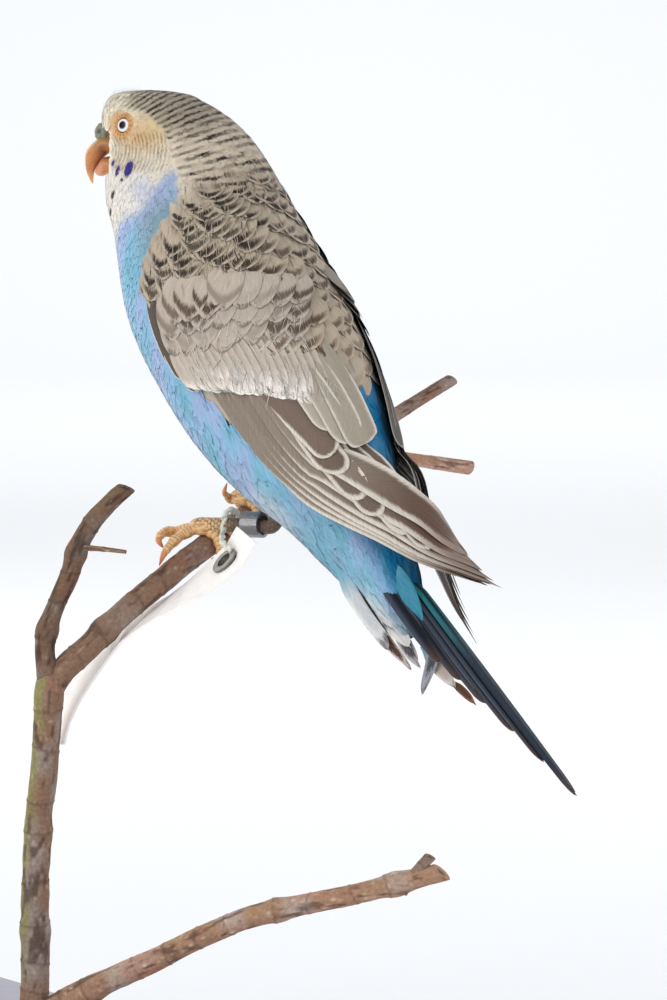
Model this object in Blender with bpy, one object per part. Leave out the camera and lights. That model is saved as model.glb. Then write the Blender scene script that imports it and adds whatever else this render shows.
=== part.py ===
# A budgerigar mounted on a branch with a slab base, at life size, in metres with +Z up.
# The origin is the middle of the base's underside. +X is to the right and +Y away in the front view.
import math

import bmesh
import bpy
import numpy as np
from mathutils import Matrix, Vector
from mathutils.bvhtree import BVHTree

MM = 0.001
GAP = 0.3 * MM
UP = np.array([0.0, 0.0, 1.0])
FLAT_ANGLE = math.radians(0.5)
WELD = 0.0003 * MM

# The slab base
BASE_LENGTH = 140 * MM
BASE_WIDTH = 104 * MM
BASE_THICKNESS = 14 * MM
BASE_TURN = math.radians(-53)
BASE_BEVEL = 1.2 * MM

# The bird's body frame: its middle, the way it heads and how far it leans from upright
BODY_AT = np.array([63.5, 45.0, 150.7]) * MM
BODY_YAW = math.radians(35)
BODY_LEAN = math.radians(35.6)
TURN_SIDES = 28

# Rings of the body from the undertail to the crown: place along the back, rise toward the back,
# lean and yaw of the ring in degrees, half width and half depth, all lengths in millimetres
BODY_RINGS = [
    (-69.0, 1.5, 26, 35, 1.6, 1.6),
    (-64.0, 1.8, 26, 35, 4.6, 4.4),
    (-57.0, 2.2, 26, 35, 7.2, 6.8),
    (-48.5, 2.0, 26, 35, 9.5, 9.2),
    (-39.0, 1.9, 26, 35, 12.5, 11.8),
    (-29.5, 1.6, 27, 35, 16.0, 15.6),
    (-20.0, 1.6, 28, 35, 18.2, 18.8),
    (-10.5, 1.8, 27, 35, 19.5, 21.0),
    (-2.3, 2.1, 23.5, 35, 20.3, 21.9),
    (5.7, 2.5, 18.5, 35, 20.5, 22.6),
    (13.0, 3.2, 14, 34, 20.3, 22.6),
    (19.0, 4.5, 11, 33, 19.5, 22.0),
    (25.0, 6.0, 9, 31, 18.3, 20.9),
    (30.5, 7.2, 8, 28, 16.5, 19.9),
    (36.7, 8.2, 6.5, 24, 14.5, 19.2),
    (41.0, 9.5, 4.5, 20, 13.0, 18.1),
    (44.7, 10.7, 3, 17, 12.0, 16.8),
    (48.3, 11.4, 1.5, 15, 11.3, 15.8),
    (51.7, 11.6, 0, 14, 10.6, 14.8),
    (55.1, 11.6, -0.5, 13, 9.8, 13.0),
    (58.2, 11.4, -0.5, 12, 8.4, 10.3),
    (60.6, 11.3, 0, 12, 5.6, 6.2),
]
RUMP_FROM = -66.5
TORSO_FROM = -37.0
NECK_FROM = 27.0
HEAD_FROM = 45.0

# The bill, cere and eyes, in the head's own frame: forward and up from the bill's root
HEAD_YAW = math.radians(12)
BILL_AT = np.array([34.6, 62.0, 196.0]) * MM
EYE_RADIUS = 2.7 * MM
EYE_FORWARD = -4.4 * MM
EYE_RISE = 3.6 * MM
EYE_STANDS_OUT = 0.75 * MM
LID_RADIUS = 2.15 * MM
LID_THICKNESS = 0.55 * MM
BILL_SIDES = 12
CERE_LOBE = np.array([1.6, 1.5, 1.9]) * MM
NOSTRIL = np.array([0.7, 0.42, 0.42]) * MM

# Wing rings: place along the back, centre's rise and own radius in millimetres,
# then the angles of the lower and upper edges from the mid back in degrees
LEFT_WING_RINGS = [
    (29.0, 6.0, 0.0, 60, 44),
    (24.0, 5.8, 0.0, 86, 36),
    (17.0, 4.0, 0.0, 101, 28),
    (5.0, 2.5, 0.0, 105, 18),
    (-10.0, 2.0, 0.0, 99, 13),
    (-22.0, 1.8, 0.0, 88, 12),
    (-35.0, 2.0, 16.2, 76, 20),
    (-49.0, 3.5, 14.6, 60, 32),
    (-59.0, 5.0, 12.0, 44, 14),
    (-67.0, 8.5, 10.8, 20, -4),
    (-75.0, 13.5, 10.5, -6, -14),
]
RIGHT_WING_RINGS = [
    (29.0, 6.0, 0.0, 66, 56),
    (24.0, 5.8, 0.0, 86, 50),
    (17.0, 4.0, 0.0, 101, 44),
    (5.0, 2.5, 0.0, 105, 36),
    (-10.0, 2.0, 0.0, 99, 26),
    (-22.0, 1.8, 0.0, 88, 19),
    (-35.0, 2.0, 14.6, 76, 20),
    (-49.0, 3.0, 11.8, 60, 30),
    (-59.0, 3.5, 9.6, 50, 20),
    (-67.0, 3.8, 8.0, 46, 20),
    (-77.0, 4.0, 7.4, 40, 24),
]

# The wing's front part: how far its underside stands off the body, and how far it reaches
WING_STANDS_OFF = 0.5
LOOK_FROM = 45.0
CORE_REACH = (28.4, -34.3)
COVERT_WIDTH = 6.0
COVERTS = 8
PRIMARY_LIFT = 0.42
LEFT_LIFT = 1.0
RIGHT_LIFT = 0.7

# Tail feathers: one long middle pair, then pairs that step down and out
TAIL_ROOT = (-50.0, 7.2)
TAIL_TIP = (-116.0, 16.6)
TAIL_PAIRS = 6
TAIL_SHORTENING = [1.0, 0.86, 0.73, 0.61, 0.51, 0.43]
TAIL_FEATHER_WIDTH = 5.6 * MM
TAIL_STEP_OUT = 0.75 * MM
TAIL_STEP_DOWN = 0.62 * MM
TAIL_BULB = np.array([3.6, 2.4, 9.0]) * MM

# Feather thickness at the root and at the tip
VANE_THICKNESS = 0.6 * MM
VANE_TIP_THICKNESS = 0.35 * MM

# Where the wing feathers end: place along the back, angle from the mid back in degrees,
# and width in millimetres
SECONDARIES = [(-31.5, 45.0, 6.4), (-37.5, 47.0, 6.4), (-43.0, 46.0, 6.4), (-47.5, 42.0, 6.4),
               (-53.0, 31.0, 6.4), (-58.0, 20.0, 6.0)]
TERTIALS = [(-27.0, 37.0, 7.2), (-31.0, 30.0, 7.8), (-34.0, 22.0, 8.4)]
LEFT_PRIMARIES = [(-68.5, -8.0, 4.6), (-69.5, -14.0, 4.8), (-70.5, -19.0, 5.2), (-68.5, -21.0, 6.0),
                  (-65.0, -22.0, 7.0), (-60.5, -22.0, 7.4)]
RIGHT_PRIMARIES = [(-75.5, 36.0, 4.6), (-74.0, 34.0, 4.6), (-71.5, 32.0, 4.8), (-68.5, 30.0, 5.0),
                   (-65.0, 28.0, 5.2), (-61.5, 26.0, 5.6)]

# The branch: routes in millimetres from the origin, and radii along them
STEM_ROUTE = [(19.0, 20.0, 14.3), (19.4, 20.0, 24.0), (19.6, 20.0, 40.0), (20.4, 20.0, 57.0),
              (21.8, 20.0, 70.0), (22.9, 20.0, 85.5)]
STEM_RADII = [3.1, 2.9, 2.9, 2.8, 2.8, 2.9]
LEFT_ROUTE = [(22.7, 20.0, 84.5), (21.9, 21.0, 91.5), (22.3, 22.0, 96.5), (24.4, 23.0, 102.4),
              (26.8, 24.0, 107.9), (28.4, 24.0, 113.0), (31.4, 24.0, 118.3), (35.1, 23.0, 122.6),
              (38.6, 22.0, 125.7)]
LEFT_RADII = [2.5, 2.1, 2.0, 1.9, 1.95, 2.0, 1.95, 1.8, 1.7]
THIN_ROUTE = [(28.4, 23.6, 113.6), (33.2, 21.5, 113.3), (38.6, 19.5, 112.9)]
PERCH_ROUTE = [(22.6, 19.8, 82.6), (25.3, 21.0, 88.0), (28.5, 22.5, 91.0), (32.9, 25.0, 95.1),
               (38.9, 29.0, 100.3), (45.0, 33.5, 105.2), (50.0, 38.0, 108.9), (54.5, 43.0, 112.0),
               (61.8, 54.0, 116.7), (73.8, 72.0, 123.3), (84.6, 88.0, 129.2), (95.1, 101.0, 135.6),
               (107.6, 115.5, 142.4)]
PERCH_RADII = [2.6, 2.7, 2.65, 2.6, 2.6, 2.55, 2.55, 2.5, 2.3, 2.0, 1.75, 1.55, 1.4]
FAR_ROUTE = [(82.8, 86.2, 128.2), (89.1, 94.0, 127.6), (96.3, 101.0, 125.8), (111.8, 110.0, 122.9)]
LOW_ROUTE = [(19.8, 20.2, 17.0), (26.8, 18.6, 20.4), (35.0, 16.0, 24.9), (43.6, 13.0, 29.3),
             (52.4, 10.4, 34.2), (64.1, 7.0, 39.7), (74.2, 4.5, 42.6), (84.3, 2.0, 45.1),
             (93.4, 0.0, 47.7), (102.6, -2.0, 50.5)]
LOW_RADII = [2.9, 2.7, 2.5, 2.35, 2.25, 2.2, 2.15, 2.05, 2.1, 1.9]
STUB_ROUTE = [(95.5, -0.8, 47.5), (98.2, -1.4, 51.2), (100.4, -2.0, 53.6)]

# Where the feet grip the perch, in millimetres along it, and the toes' paths there:
# reach along, angle from the top toward the front, and height over the bark
LEFT_PALM_AT = 50.5
RIGHT_PALM_AT = 66.0
LEFT_TOES = {
    "front_inner": [(-4.0, 24, 2.3), (-7.6, 18, 2.3), (-10.8, 16, 1.6), (-13.4, 14, 0.25)],
    "front_outer": [(-2.6, 50, 4.0), (-5.2, 48, 5.4), (-7.8, 46, 4.9), (-8.6, 46, 2.6)],
    "rear_inner": [(-0.2, -48, 1.5), (-0.5, -88, 1.35), (-1.0, -125, 1.2), (-1.5, -152, 0.3)],
    "rear_outer": [(3.0, -45, 1.6), (5.0, -85, 1.35), (6.0, -120, 1.2), (6.5, -150, 0.3)],
}
RIGHT_TOES = {
    "front_inner": [(-0.8, 40, 2.3), (-1.8, 30, 3.2), (-3.2, 20, 4.6), (-2.4, 12, 6.2)],
    "front_outer": [(1.5, 50, 1.8), (3.2, 85, 1.4), (3.8, 120, 1.2), (3.8, 148, 0.3)],
    "rear_inner": [(-1.0, -48, 1.5), (-1.8, -88, 1.35), (-2.0, -125, 1.2), (-2.0, -152, 0.3)],
    "rear_outer": [(3.5, -45, 1.6), (5.5, -85, 1.35), (6.3, -120, 1.2), (6.6, -150, 0.3)],
}
TOE_RADII = [1.25, 1.05, 0.85]
CLAW_RADII = [0.72, 0.46, 0.07]
PALM = np.array([3.1, 2.3, 1.75]) * MM
THIGH = np.array([5.5, 4.0, 4.0]) * MM
SHANK_RADII = [1.7, 1.35, 1.35, 1.9]
LEFT_HIP = np.array([68.3, 33.6, 116.9]) * MM
RIGHT_HIP = np.array([77.4, 47.2, 117.6]) * MM
BAND_AT = np.array([64.6, 36.5, 116.9]) * MM
BAND_INNER = 2.15 * MM
BAND_OUTER = 2.75 * MM
BAND_LENGTH = 4.2 * MM
BAND_SIDES = 24

# The hanging label, its eyelet and string
LABEL_ROUTE = [(63.2, 25.6, 115.8), (60.6, 25.5, 111.4), (55.1, 25.7, 106.7), (44.0, 28.3, 99.4),
               (36.1, 31.8, 94.0), (31.5, 31.7, 88.8), (27.0, 30.6, 82.4), (24.5, 29.6, 77.1),
               (23.4, 28.6, 72.0)]
LABEL_ROWS = 14
LABEL_ACROSS = [0.25, -0.94]
LABEL_DIP = [-0.22, -0.2, -0.09, 0.05, 0.03, -0.03, -0.1, -0.12, -0.12]
LABEL_WIDTH = 14.0 * MM
LABEL_THICKNESS = 0.5 * MM
EYELET_ROW = 1.5
EYELET_INNER = 1.75 * MM
EYELET_OUTER = 3.1 * MM
EYELET_BARREL = 2.5 * MM
EYELET_LIP = 0.45 * MM
STRING_RADIUS = 0.62 * MM
STRING_AT = np.array([59.6, 40.3, 116.9])


def heading(yaw):
    """The level direction that something turned by this yaw faces."""
    return np.array([-math.cos(yaw), math.sin(yaw), 0.0])


def leftward(yaw):
    """The level direction to the left of something turned by this yaw."""
    return np.array([-math.sin(yaw), -math.cos(yaw), 0.0])


BODY_FORWARD = heading(BODY_YAW)
BODY_LEFT = leftward(BODY_YAW)
BODY_ALONG = BODY_FORWARD * math.sin(BODY_LEAN) + UP * math.cos(BODY_LEAN)
BODY_BACK = -BODY_FORWARD * math.cos(BODY_LEAN) + UP * math.sin(BODY_LEAN)
HEAD_FORWARD = heading(HEAD_YAW)
HEAD_LEFT = leftward(HEAD_YAW)


def in_body(along, left, back):
    """A place given in the body frame in millimetres."""
    place = np.multiply.outer(np.asarray(along, float), BODY_ALONG)
    place = place + np.multiply.outer(np.asarray(left, float), BODY_LEFT)
    place = place + np.multiply.outer(np.asarray(back, float), BODY_BACK)
    return BODY_AT + place * MM


def in_head(forward, left, up):
    """A place given in the head frame in metres from the bill's root."""
    return BILL_AT + HEAD_FORWARD * forward + HEAD_LEFT * left + UP * up


def smooth_through(keys, values, at):
    """A cubic curve through the values at the keys, read at the given places."""
    keys = np.asarray(keys, float)
    values = np.asarray(values, float)
    slopes = np.gradient(values, keys, axis=0)
    at = np.clip(np.asarray(at, float), keys[0], keys[-1])
    cell = np.clip(np.searchsorted(keys, at, side="right") - 1, 0, len(keys) - 2)
    width = keys[cell + 1] - keys[cell]
    s = (at - keys[cell]) / width
    extra = (...,) + (None,) * (values.ndim - 1)
    width = width[extra]
    s = s[extra]
    start = values[cell] * (2 * s**3 - 3 * s**2 + 1) + slopes[cell] * width * (s**3 - 2 * s**2 + s)
    end = values[cell + 1] * (3 * s**2 - 2 * s**3) + slopes[cell + 1] * width * (s**3 - s**2)
    return start + end


def smooth_path(points, count):
    """Evenly read places on a smooth curve through the points."""
    points = np.asarray(points, float)
    steps = np.linalg.norm(np.diff(points, axis=0), axis=1)
    keys = np.concatenate([[0.0], np.cumsum(steps)])
    return smooth_through(keys, points, np.linspace(0.0, keys[-1], count))


def paint(name, colour, roughness, metallic=0.0):
    """A Principled material."""
    material = bpy.data.materials.new(name)
    material.use_nodes = True
    shader = material.node_tree.nodes["Principled BSDF"]
    shader.inputs["Base Color"].default_value = (*colour, 1.0)
    shader.inputs["Roughness"].default_value = roughness
    shader.inputs["Metallic"].default_value = metallic
    return material


def add_object(name, vertices, faces, material=None, smooth=True):
    """A mesh object from places and faces, with its faces pointing out."""
    mesh = bpy.data.meshes.new(name)
    mesh.from_pydata([tuple(v) for v in np.asarray(vertices, float)], [], faces)
    shape = bmesh.new()
    shape.from_mesh(mesh)
    bmesh.ops.recalc_face_normals(shape, faces=shape.faces)
    if shape.calc_volume(signed=True) < 0:
        bmesh.ops.reverse_faces(shape, faces=shape.faces)
    shape.to_mesh(mesh)
    shape.free()
    if smooth:
        mesh.shade_smooth()
        mesh.set_sharp_from_angle(angle=math.radians(50))
    if material:
        mesh.materials.append(material)
    thing = bpy.data.objects.new(name, mesh)
    bpy.context.scene.collection.objects.link(thing)
    return thing


def loft(name, rings, material=None, smooth=True):
    """A closed body through rings of places, with a fan of faces at each end."""
    rings = np.asarray(rings, float)
    count, sides = rings.shape[:2]
    vertices = list(rings.reshape(-1, 3))
    faces = []
    for row in range(count - 1):
        for side in range(sides):
            after = (side + 1) % sides
            first = row * sides
            second = first + sides
            faces.append((first + side, first + after, second + after))
            faces.append((first + side, second + after, second + side))
    for row, flip in ((0, True), (count - 1, False)):
        middle = len(vertices)
        vertices.append(rings[row].mean(axis=0))
        for side in range(sides):
            after = (side + 1) % sides
            edge = (row * sides + side, row * sides + after)
            faces.append((edge[1], edge[0], middle) if flip else (*edge, middle))
    return add_object(name, vertices, faces, material, smooth)


def tube_rings(path, across, deep=None, sides=12, hint=UP):
    """Rings around a path, with the hint direction kept as the deep one."""
    path = np.asarray(path, float)
    across = np.broadcast_to(np.asarray(across, float), len(path))
    deep = across if deep is None else np.broadcast_to(np.asarray(deep, float), len(path))
    tangents = np.gradient(path, axis=0)
    tangents /= np.linalg.norm(tangents, axis=1, keepdims=True)
    hint = np.broadcast_to(np.asarray(hint, float), path.shape)
    side = np.cross(tangents, hint)
    side /= np.linalg.norm(side, axis=1, keepdims=True)
    up = np.cross(side, tangents)
    turn = np.linspace(0.0, 2 * math.pi, sides, endpoint=False)
    ring = side[:, None, :] * (across[:, None] * np.cos(turn))[:, :, None]
    ring = ring + up[:, None, :] * (deep[:, None] * np.sin(turn))[:, :, None]
    return path[:, None, :] + ring


def ball(name, centre, radii, axes, rows=8, sides=14, material=None):
    """An ellipsoid with the given half sizes along the given axes."""
    turn = np.linspace(0.0, 2 * math.pi, sides, endpoint=False)
    rise = np.linspace(-0.5 * math.pi, 0.5 * math.pi, rows + 2)[1:-1]
    axes = np.asarray(axes, float) * np.asarray(radii, float)[:, None]
    level = np.cos(rise)[:, None]
    ring = level[..., None] * np.cos(turn)[None, :, None] * axes[0]
    ring = ring + level[..., None] * np.sin(turn)[None, :, None] * axes[1]
    ring = ring + np.sin(rise)[:, None, None] * axes[2]
    shape = loft(name, centre + ring, material)
    poles = (centre - axes[2], centre + axes[2])
    for vertex, pole in zip(shape.data.vertices[-2:], poles):
        vertex.co = pole
    return shape


def vane(name, path, normals, widths, thickness, tip_thickness):
    """A flat tapered feather along a path, cut into the same triangles on both faces."""
    path = np.asarray(path, float)
    normals = np.asarray(normals, float)
    tangents = np.gradient(path, axis=0)
    across = np.cross(normals, tangents)
    across /= np.linalg.norm(across, axis=1, keepdims=True)
    half = across * (np.asarray(widths, float) / 2)[:, None]
    thick = np.linspace(thickness, tip_thickness, len(path))[:, None] * normals / 2
    corners = np.stack([path - half + thick, path + half + thick, path + half - thick,
                        path - half - thick], axis=1)
    faces = []
    for row in range(len(path) - 1):
        a, b, c, d = (row * 4 + corner for corner in range(4))
        e, f, g, h = (row * 4 + 4 + corner for corner in range(4))
        faces += [(a, b, f), (a, f, e), (d, g, c), (d, h, g)]
        faces += [(b, c, g), (b, g, f), (d, a, e), (d, e, h)]
    last = (len(path) - 1) * 4
    faces += [(0, 2, 1), (0, 3, 2), (last, last + 1, last + 2), (last, last + 2, last + 3)]
    return add_object(name, corners.reshape(-1, 3), faces, None, smooth=False)


def feather_widths(width, count, roundness=0.5):
    """Widths from a narrow root to a full middle and a rounded tip."""
    s = np.linspace(0.0, 1.0, count)
    swell = np.clip(0.55 + 1.1 * s, 0.0, 1.0)
    tip = np.clip((1.0 - s) / 0.28, 0.0, 1.0) ** roundness
    return width * np.maximum(swell * tip, 0.16)


def applied(shape):
    """The mesh of an object with its modifiers applied, put back on the object."""
    graph = bpy.context.evaluated_depsgraph_get()
    graph.update()
    mesh = bpy.data.meshes.new_from_object(shape.evaluated_get(graph))
    shape.modifiers.clear()
    old = shape.data
    shape.data = mesh
    bpy.data.meshes.remove(old)


def keep_largest(shape):
    """Leaves only the largest closed surface of an object."""
    body = bmesh.new()
    body.from_mesh(shape.data)
    body.faces.ensure_lookup_table()
    unseen = set(body.faces)
    islands = []
    while unseen:
        stack = [unseen.pop()]
        island = list(stack)
        while stack:
            for edge in stack.pop().edges:
                for face in edge.link_faces:
                    if face in unseen:
                        unseen.remove(face)
                        stack.append(face)
                        island.append(face)
        islands.append(island)
    islands.sort(key=lambda island: -sum(face.calc_area() for face in island))
    for island in islands[1:]:
        bmesh.ops.delete(body, geom=island, context="FACES")
    loose = [vertex for vertex in body.verts if not vertex.link_faces]
    bmesh.ops.delete(body, geom=loose, context="VERTS")
    bmesh.ops.remove_doubles(body, verts=body.verts, dist=WELD)
    body.to_mesh(shape.data)
    body.free()


def combine(shape, pieces, operation):
    """One Boolean of an object with the other pieces, by the solver that takes near-touching faces."""
    group = bpy.data.collections.new(shape.name + "_pieces")
    for piece in pieces:
        group.objects.link(piece)
    step = shape.modifiers.new("join", "BOOLEAN")
    step.operation = operation
    step.solver = "MANIFOLD"
    step.operand_type = "COLLECTION"
    step.collection = group
    applied(shape)
    for piece in pieces:
        bpy.data.objects.remove(piece)
    bpy.data.collections.remove(group)
    keep_largest(shape)


def merge_flat(shape):
    """Merges the triangles that lie in one plane, then cuts each plane afresh."""
    body = bmesh.new()
    body.from_mesh(shape.data)
    bmesh.ops.dissolve_limit(body, angle_limit=FLAT_ANGLE, verts=body.verts, edges=body.edges)
    bmesh.ops.triangulate(body, faces=body.faces)
    body.to_mesh(shape.data)
    body.free()


def fuse(name, pieces, material):
    """One closed body from overlapping pieces."""
    shape = pieces[0]
    shape.name = name
    combine(shape, pieces[1:], "UNION")
    merge_flat(shape)
    shape.data.materials.clear()
    shape.data.materials.append(material)
    return shape


def swollen(shape, gap):
    """A copy of an object whose surface stands out by the gap, to cut with."""
    mesh = shape.data.copy()
    body = bmesh.new()
    body.from_mesh(mesh)
    body.normal_update()
    moves = [vertex.normal * (gap * vertex.calc_shell_factor()) for vertex in body.verts]
    for vertex, move in zip(body.verts, moves):
        vertex.co += move
    body.to_mesh(mesh)
    body.free()
    cutter = bpy.data.objects.new(shape.name + "_cutter", mesh)
    cutter.matrix_world = shape.matrix_world
    bpy.context.scene.collection.objects.link(cutter)
    cutter.hide_render = True
    cutter.display_type = "WIRE"
    return cutter


def keep_clear(shape, neighbours, gap=GAP):
    """Cuts a body back so that it keeps the gap to its neighbours."""
    for neighbour in neighbours:
        combine(shape, [swollen(neighbour, gap)], "DIFFERENCE")


def body_ring(along, grow=0.0, sides=TURN_SIDES):
    """One ring of the body's surface, from the mid back round by the left side."""
    columns = np.array(BODY_RINGS)
    rise, lean, yaw, half_width, half_depth = smooth_through(columns[:, 0], columns[:, 1:], along)
    lean = math.radians(lean)
    yaw = math.radians(yaw)
    back = -heading(yaw) * math.cos(lean) + UP * math.sin(lean)
    turn = np.linspace(0.0, 2 * math.pi, sides, endpoint=False)
    out = np.outer(np.sin(turn), leftward(yaw)) * (half_width * MM + grow)
    out = out + np.outer(np.cos(turn), back) * (half_depth * MM + grow)
    return in_body(along, 0.0, rise) + out


def body_length(name, start, end, rows, material):
    """A length of the body between two places along it."""
    rings = [body_ring(along) for along in np.linspace(start, end, rows)]
    return loft(name, rings, material)


def crown_rings(start, end, rows):
    """Rings of the head that close evenly over the crown."""
    bend = np.sin(np.linspace(0.0, 0.5 * math.pi, rows))
    return [body_ring(along) for along in start + (end - start) * bend]


def make_head(feather):
    """The head with its lids and eye sockets."""
    rings = crown_rings(HEAD_FROM, 60.6, 10)
    cap = rings[-1]
    middle = cap.mean(axis=0)
    rings.append(middle + (cap - middle) * 0.45 + UP * 0.5 * MM)
    head = loft("head", rings, feather)
    tree = BVHTree.FromObject(head, bpy.context.evaluated_depsgraph_get())
    eyes = []
    lids = []
    for side in (1, -1):
        start = in_head(EYE_FORWARD, 0.0, EYE_RISE)
        hit, normal, _, _ = tree.ray_cast(Vector(start), Vector(HEAD_LEFT * side))
        surface = np.array(hit)
        out = np.array(normal)
        if out @ (HEAD_LEFT * side) < 0:
            out = -out
        eyes.append((surface - out * (EYE_RADIUS - EYE_STANDS_OUT), out))
        lids.append(ring_band("lid", surface + out * 0.1 * MM, out, LID_RADIUS, LID_THICKNESS))
    head = fuse("head", [head] + lids, feather)
    for centre, out in eyes:
        axes = frame_on(out)
        socket = ball("socket", centre, [EYE_RADIUS + GAP] * 3, axes, rows=7, sides=14)
        combine(head, [socket], "DIFFERENCE")
    return head, eyes


def frame_on(out):
    """Three right-angled directions, the last one along out."""
    out = np.asarray(out, float) / np.linalg.norm(out)
    first = np.cross(out, UP if abs(out[2]) < 0.9 else np.array([1.0, 0.0, 0.0]))
    first /= np.linalg.norm(first)
    return np.array([first, np.cross(out, first), out])


def ring_band(name, centre, axis, radius, thickness, turns=18, sides=6):
    """A closed ring of round section around an axis."""
    first, second, out = frame_on(axis)
    around = np.linspace(0.0, 2 * math.pi, turns, endpoint=False)
    section = np.linspace(0.0, 2 * math.pi, sides, endpoint=False)
    spoke = np.outer(np.cos(around), first) + np.outer(np.sin(around), second)
    reach = radius + thickness * np.cos(section)
    places = centre + spoke[:, None, :] * reach[None, :, None]
    places = places + out * (thickness * np.sin(section))[None, :, None]
    faces = []
    for turn in range(turns):
        for side in range(sides):
            row = turn * sides
            after_row = (turn + 1) % turns * sides
            after = (side + 1) % sides
            faces.append((row + side, row + after, after_row + after, after_row + side))
    return add_object(name, places.reshape(-1, 3), faces)


def turned_ring(name, centre, axis, profile, turns, material):
    """A ring turned around an axis from a closed profile of radii and heights."""
    first, second, out = frame_on(axis)
    around = np.linspace(0.0, 2 * math.pi, turns, endpoint=False)
    spoke = np.outer(np.cos(around), first) + np.outer(np.sin(around), second)
    places = [centre + spoke * radius + out * height for radius, height in profile]
    places = np.stack(places, axis=1).reshape(-1, 3)
    sides = len(profile)
    faces = []
    for turn in range(turns):
        for side in range(sides):
            row = turn * sides
            after_row = (turn + 1) % turns * sides
            after = (side + 1) % sides
            faces.append((row + side, row + after, after_row + after, after_row + side))
    return add_object(name, places, faces, material)


def make_bill(horn, head, neck):
    """The hooked upper bill, and the short lower one tucked under it."""
    upper_path = np.array([(-2.5, 0.3), (0.0, 0.1), (1.8, -0.2), (3.3, -1.3), (4.2, -2.9),
                           (4.45, -4.8), (4.25, -6.6), (4.05, -8.3)]) * MM
    upper_deep = np.array([1.9, 2.0, 1.95, 1.8, 1.5, 1.1, 0.62, 0.12]) * MM
    upper_wide = np.array([2.7, 2.7, 2.5, 2.2, 1.8, 1.3, 0.75, 0.12]) * MM
    lower_path = np.array([(-2.0, -2.9), (0.2, -3.5), (1.5, -4.7), (2.3, -6.2), (2.5, -6.9)]) * MM
    lower_deep = np.array([1.2, 1.2, 1.0, 0.75, 0.3]) * MM
    lower_wide = np.array([2.2, 2.2, 1.9, 1.3, 0.5]) * MM
    bills = []
    for name, path, deep, wide in (("bill_upper", upper_path, upper_deep, upper_wide),
                                   ("bill_lower", lower_path, lower_deep, lower_wide)):
        keys = np.linspace(0.0, 1.0, len(path))
        fine = np.linspace(0.0, 1.0, 2 * len(path) - 4)
        line = smooth_through(keys, path, fine)
        places = np.array([in_head(forward, 0.0, up) for forward, up in line])
        across = smooth_through(keys, wide, fine)
        depth = smooth_through(keys, deep, fine)
        tangents = np.gradient(places, axis=0)
        hint = np.cross(np.broadcast_to(HEAD_LEFT, tangents.shape), tangents)
        bills.append(loft(name, tube_rings(places, across, depth, BILL_SIDES, hint), horn))
    upper, lower = bills
    keep_clear(upper, [head, neck])
    keep_clear(lower, [head, neck, upper])
    return upper, lower


def make_cere(wax, head, bill):
    """Two rounded lobes over the bill's root, each with a nostril."""
    axes = [HEAD_FORWARD, HEAD_LEFT, UP]
    lobes = []
    for side in (1, -1):
        place = in_head(1.1 * MM, 1.15 * side * MM, 2.5 * MM)
        lobes.append(ball("lobe", place, CERE_LOBE, axes, rows=5, sides=10))
    cere = fuse("cere", lobes, wax)
    for side in (1, -1):
        place = in_head(2.5 * MM, 1.5 * side * MM, 3.0 * MM)
        pit = ball("nostril", place, NOSTRIL, axes, rows=3, sides=7)
        combine(cere, [pit], "DIFFERENCE")
    keep_clear(cere, [head, bill])
    return cere


class WingSheet:
    """The curved sheet that a folded wing lies on, read by place along and angle from mid back."""

    def __init__(self, rings, side, bodies):
        self.rings = np.array(rings, float)
        self.side = side
        trees = [BVHTree.FromObject(body, bpy.context.evaluated_depsgraph_get()) for body in bodies]
        self.along = np.linspace(self.rings[-1, 0], self.rings[0, 0], 56)
        self.turn = np.radians(np.linspace(-20.0, 110.0, 40))
        self.reach = np.zeros((len(self.along), len(self.turn)))
        for row, along in enumerate(self.along):
            rise, own = self.read(along)[:2]
            start = in_body(along, 0.0, rise)
            for column, turn in enumerate(self.turn):
                way = self.outward(turn)
                far = Vector(start + way * LOOK_FROM * MM)
                found = [tree.ray_cast(far, Vector(-way), LOOK_FROM * MM)[3] for tree in trees]
                found = [LOOK_FROM - distance / MM for distance in found if distance is not None]
                wall = max(found, default=0.0)
                self.reach[row, column] = max(wall, own)
        for _ in range(2):
            soft = self.reach.copy()
            soft[1:-1] = (self.reach[:-2] + 2 * self.reach[1:-1] + self.reach[2:]) / 4
            self.reach = np.maximum(self.reach, soft)

    def read(self, along):
        """Centre's rise, own radius and the two edge angles at a place along."""
        keys = self.rings[::-1, 0]
        return smooth_through(keys, self.rings[::-1, 1:], along)

    def outward(self, turn):
        """The direction out of the body at an angle from the mid back."""
        return BODY_LEFT * math.sin(turn) * self.side + BODY_BACK * math.cos(turn)

    def radius(self, along, turn):
        """The sheet's distance from the centre line."""
        row = np.clip(np.interp(along, self.along, np.arange(len(self.along))), 0, len(self.along) - 1.001)
        column = np.interp(turn, self.turn, np.arange(len(self.turn)))
        column = min(column, len(self.turn) - 1.001)
        r = int(row)
        c = int(column)
        s = row - r
        t = column - c
        near = self.reach[r, c] * (1 - t) + self.reach[r, c + 1] * t
        far = self.reach[r + 1, c] * (1 - t) + self.reach[r + 1, c + 1] * t
        return near * (1 - s) + far * s

    def place(self, along, turn, height):
        """A place at a height in millimetres over the sheet."""
        rise = self.read(along)[0]
        distance = (self.radius(along, turn) + height) * MM
        return in_body(along, 0.0, rise) + self.outward(turn) * distance

    def normal(self, along, turn):
        """The direction straight out of the sheet."""
        ahead = self.place(along + 1.0, turn, 0.0) - self.place(along - 1.0, turn, 0.0)
        beside = self.place(along, turn + 0.06, 0.0) - self.place(along, turn - 0.06, 0.0)
        out = np.cross(ahead, beside) * -self.side
        return out / np.linalg.norm(out)

    def edge(self, along, share):
        """The angle at a share of the way from the lower to the upper edge."""
        lower, upper = self.read(along)[2:]
        return math.radians(lower + (upper - lower) * share)


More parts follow.
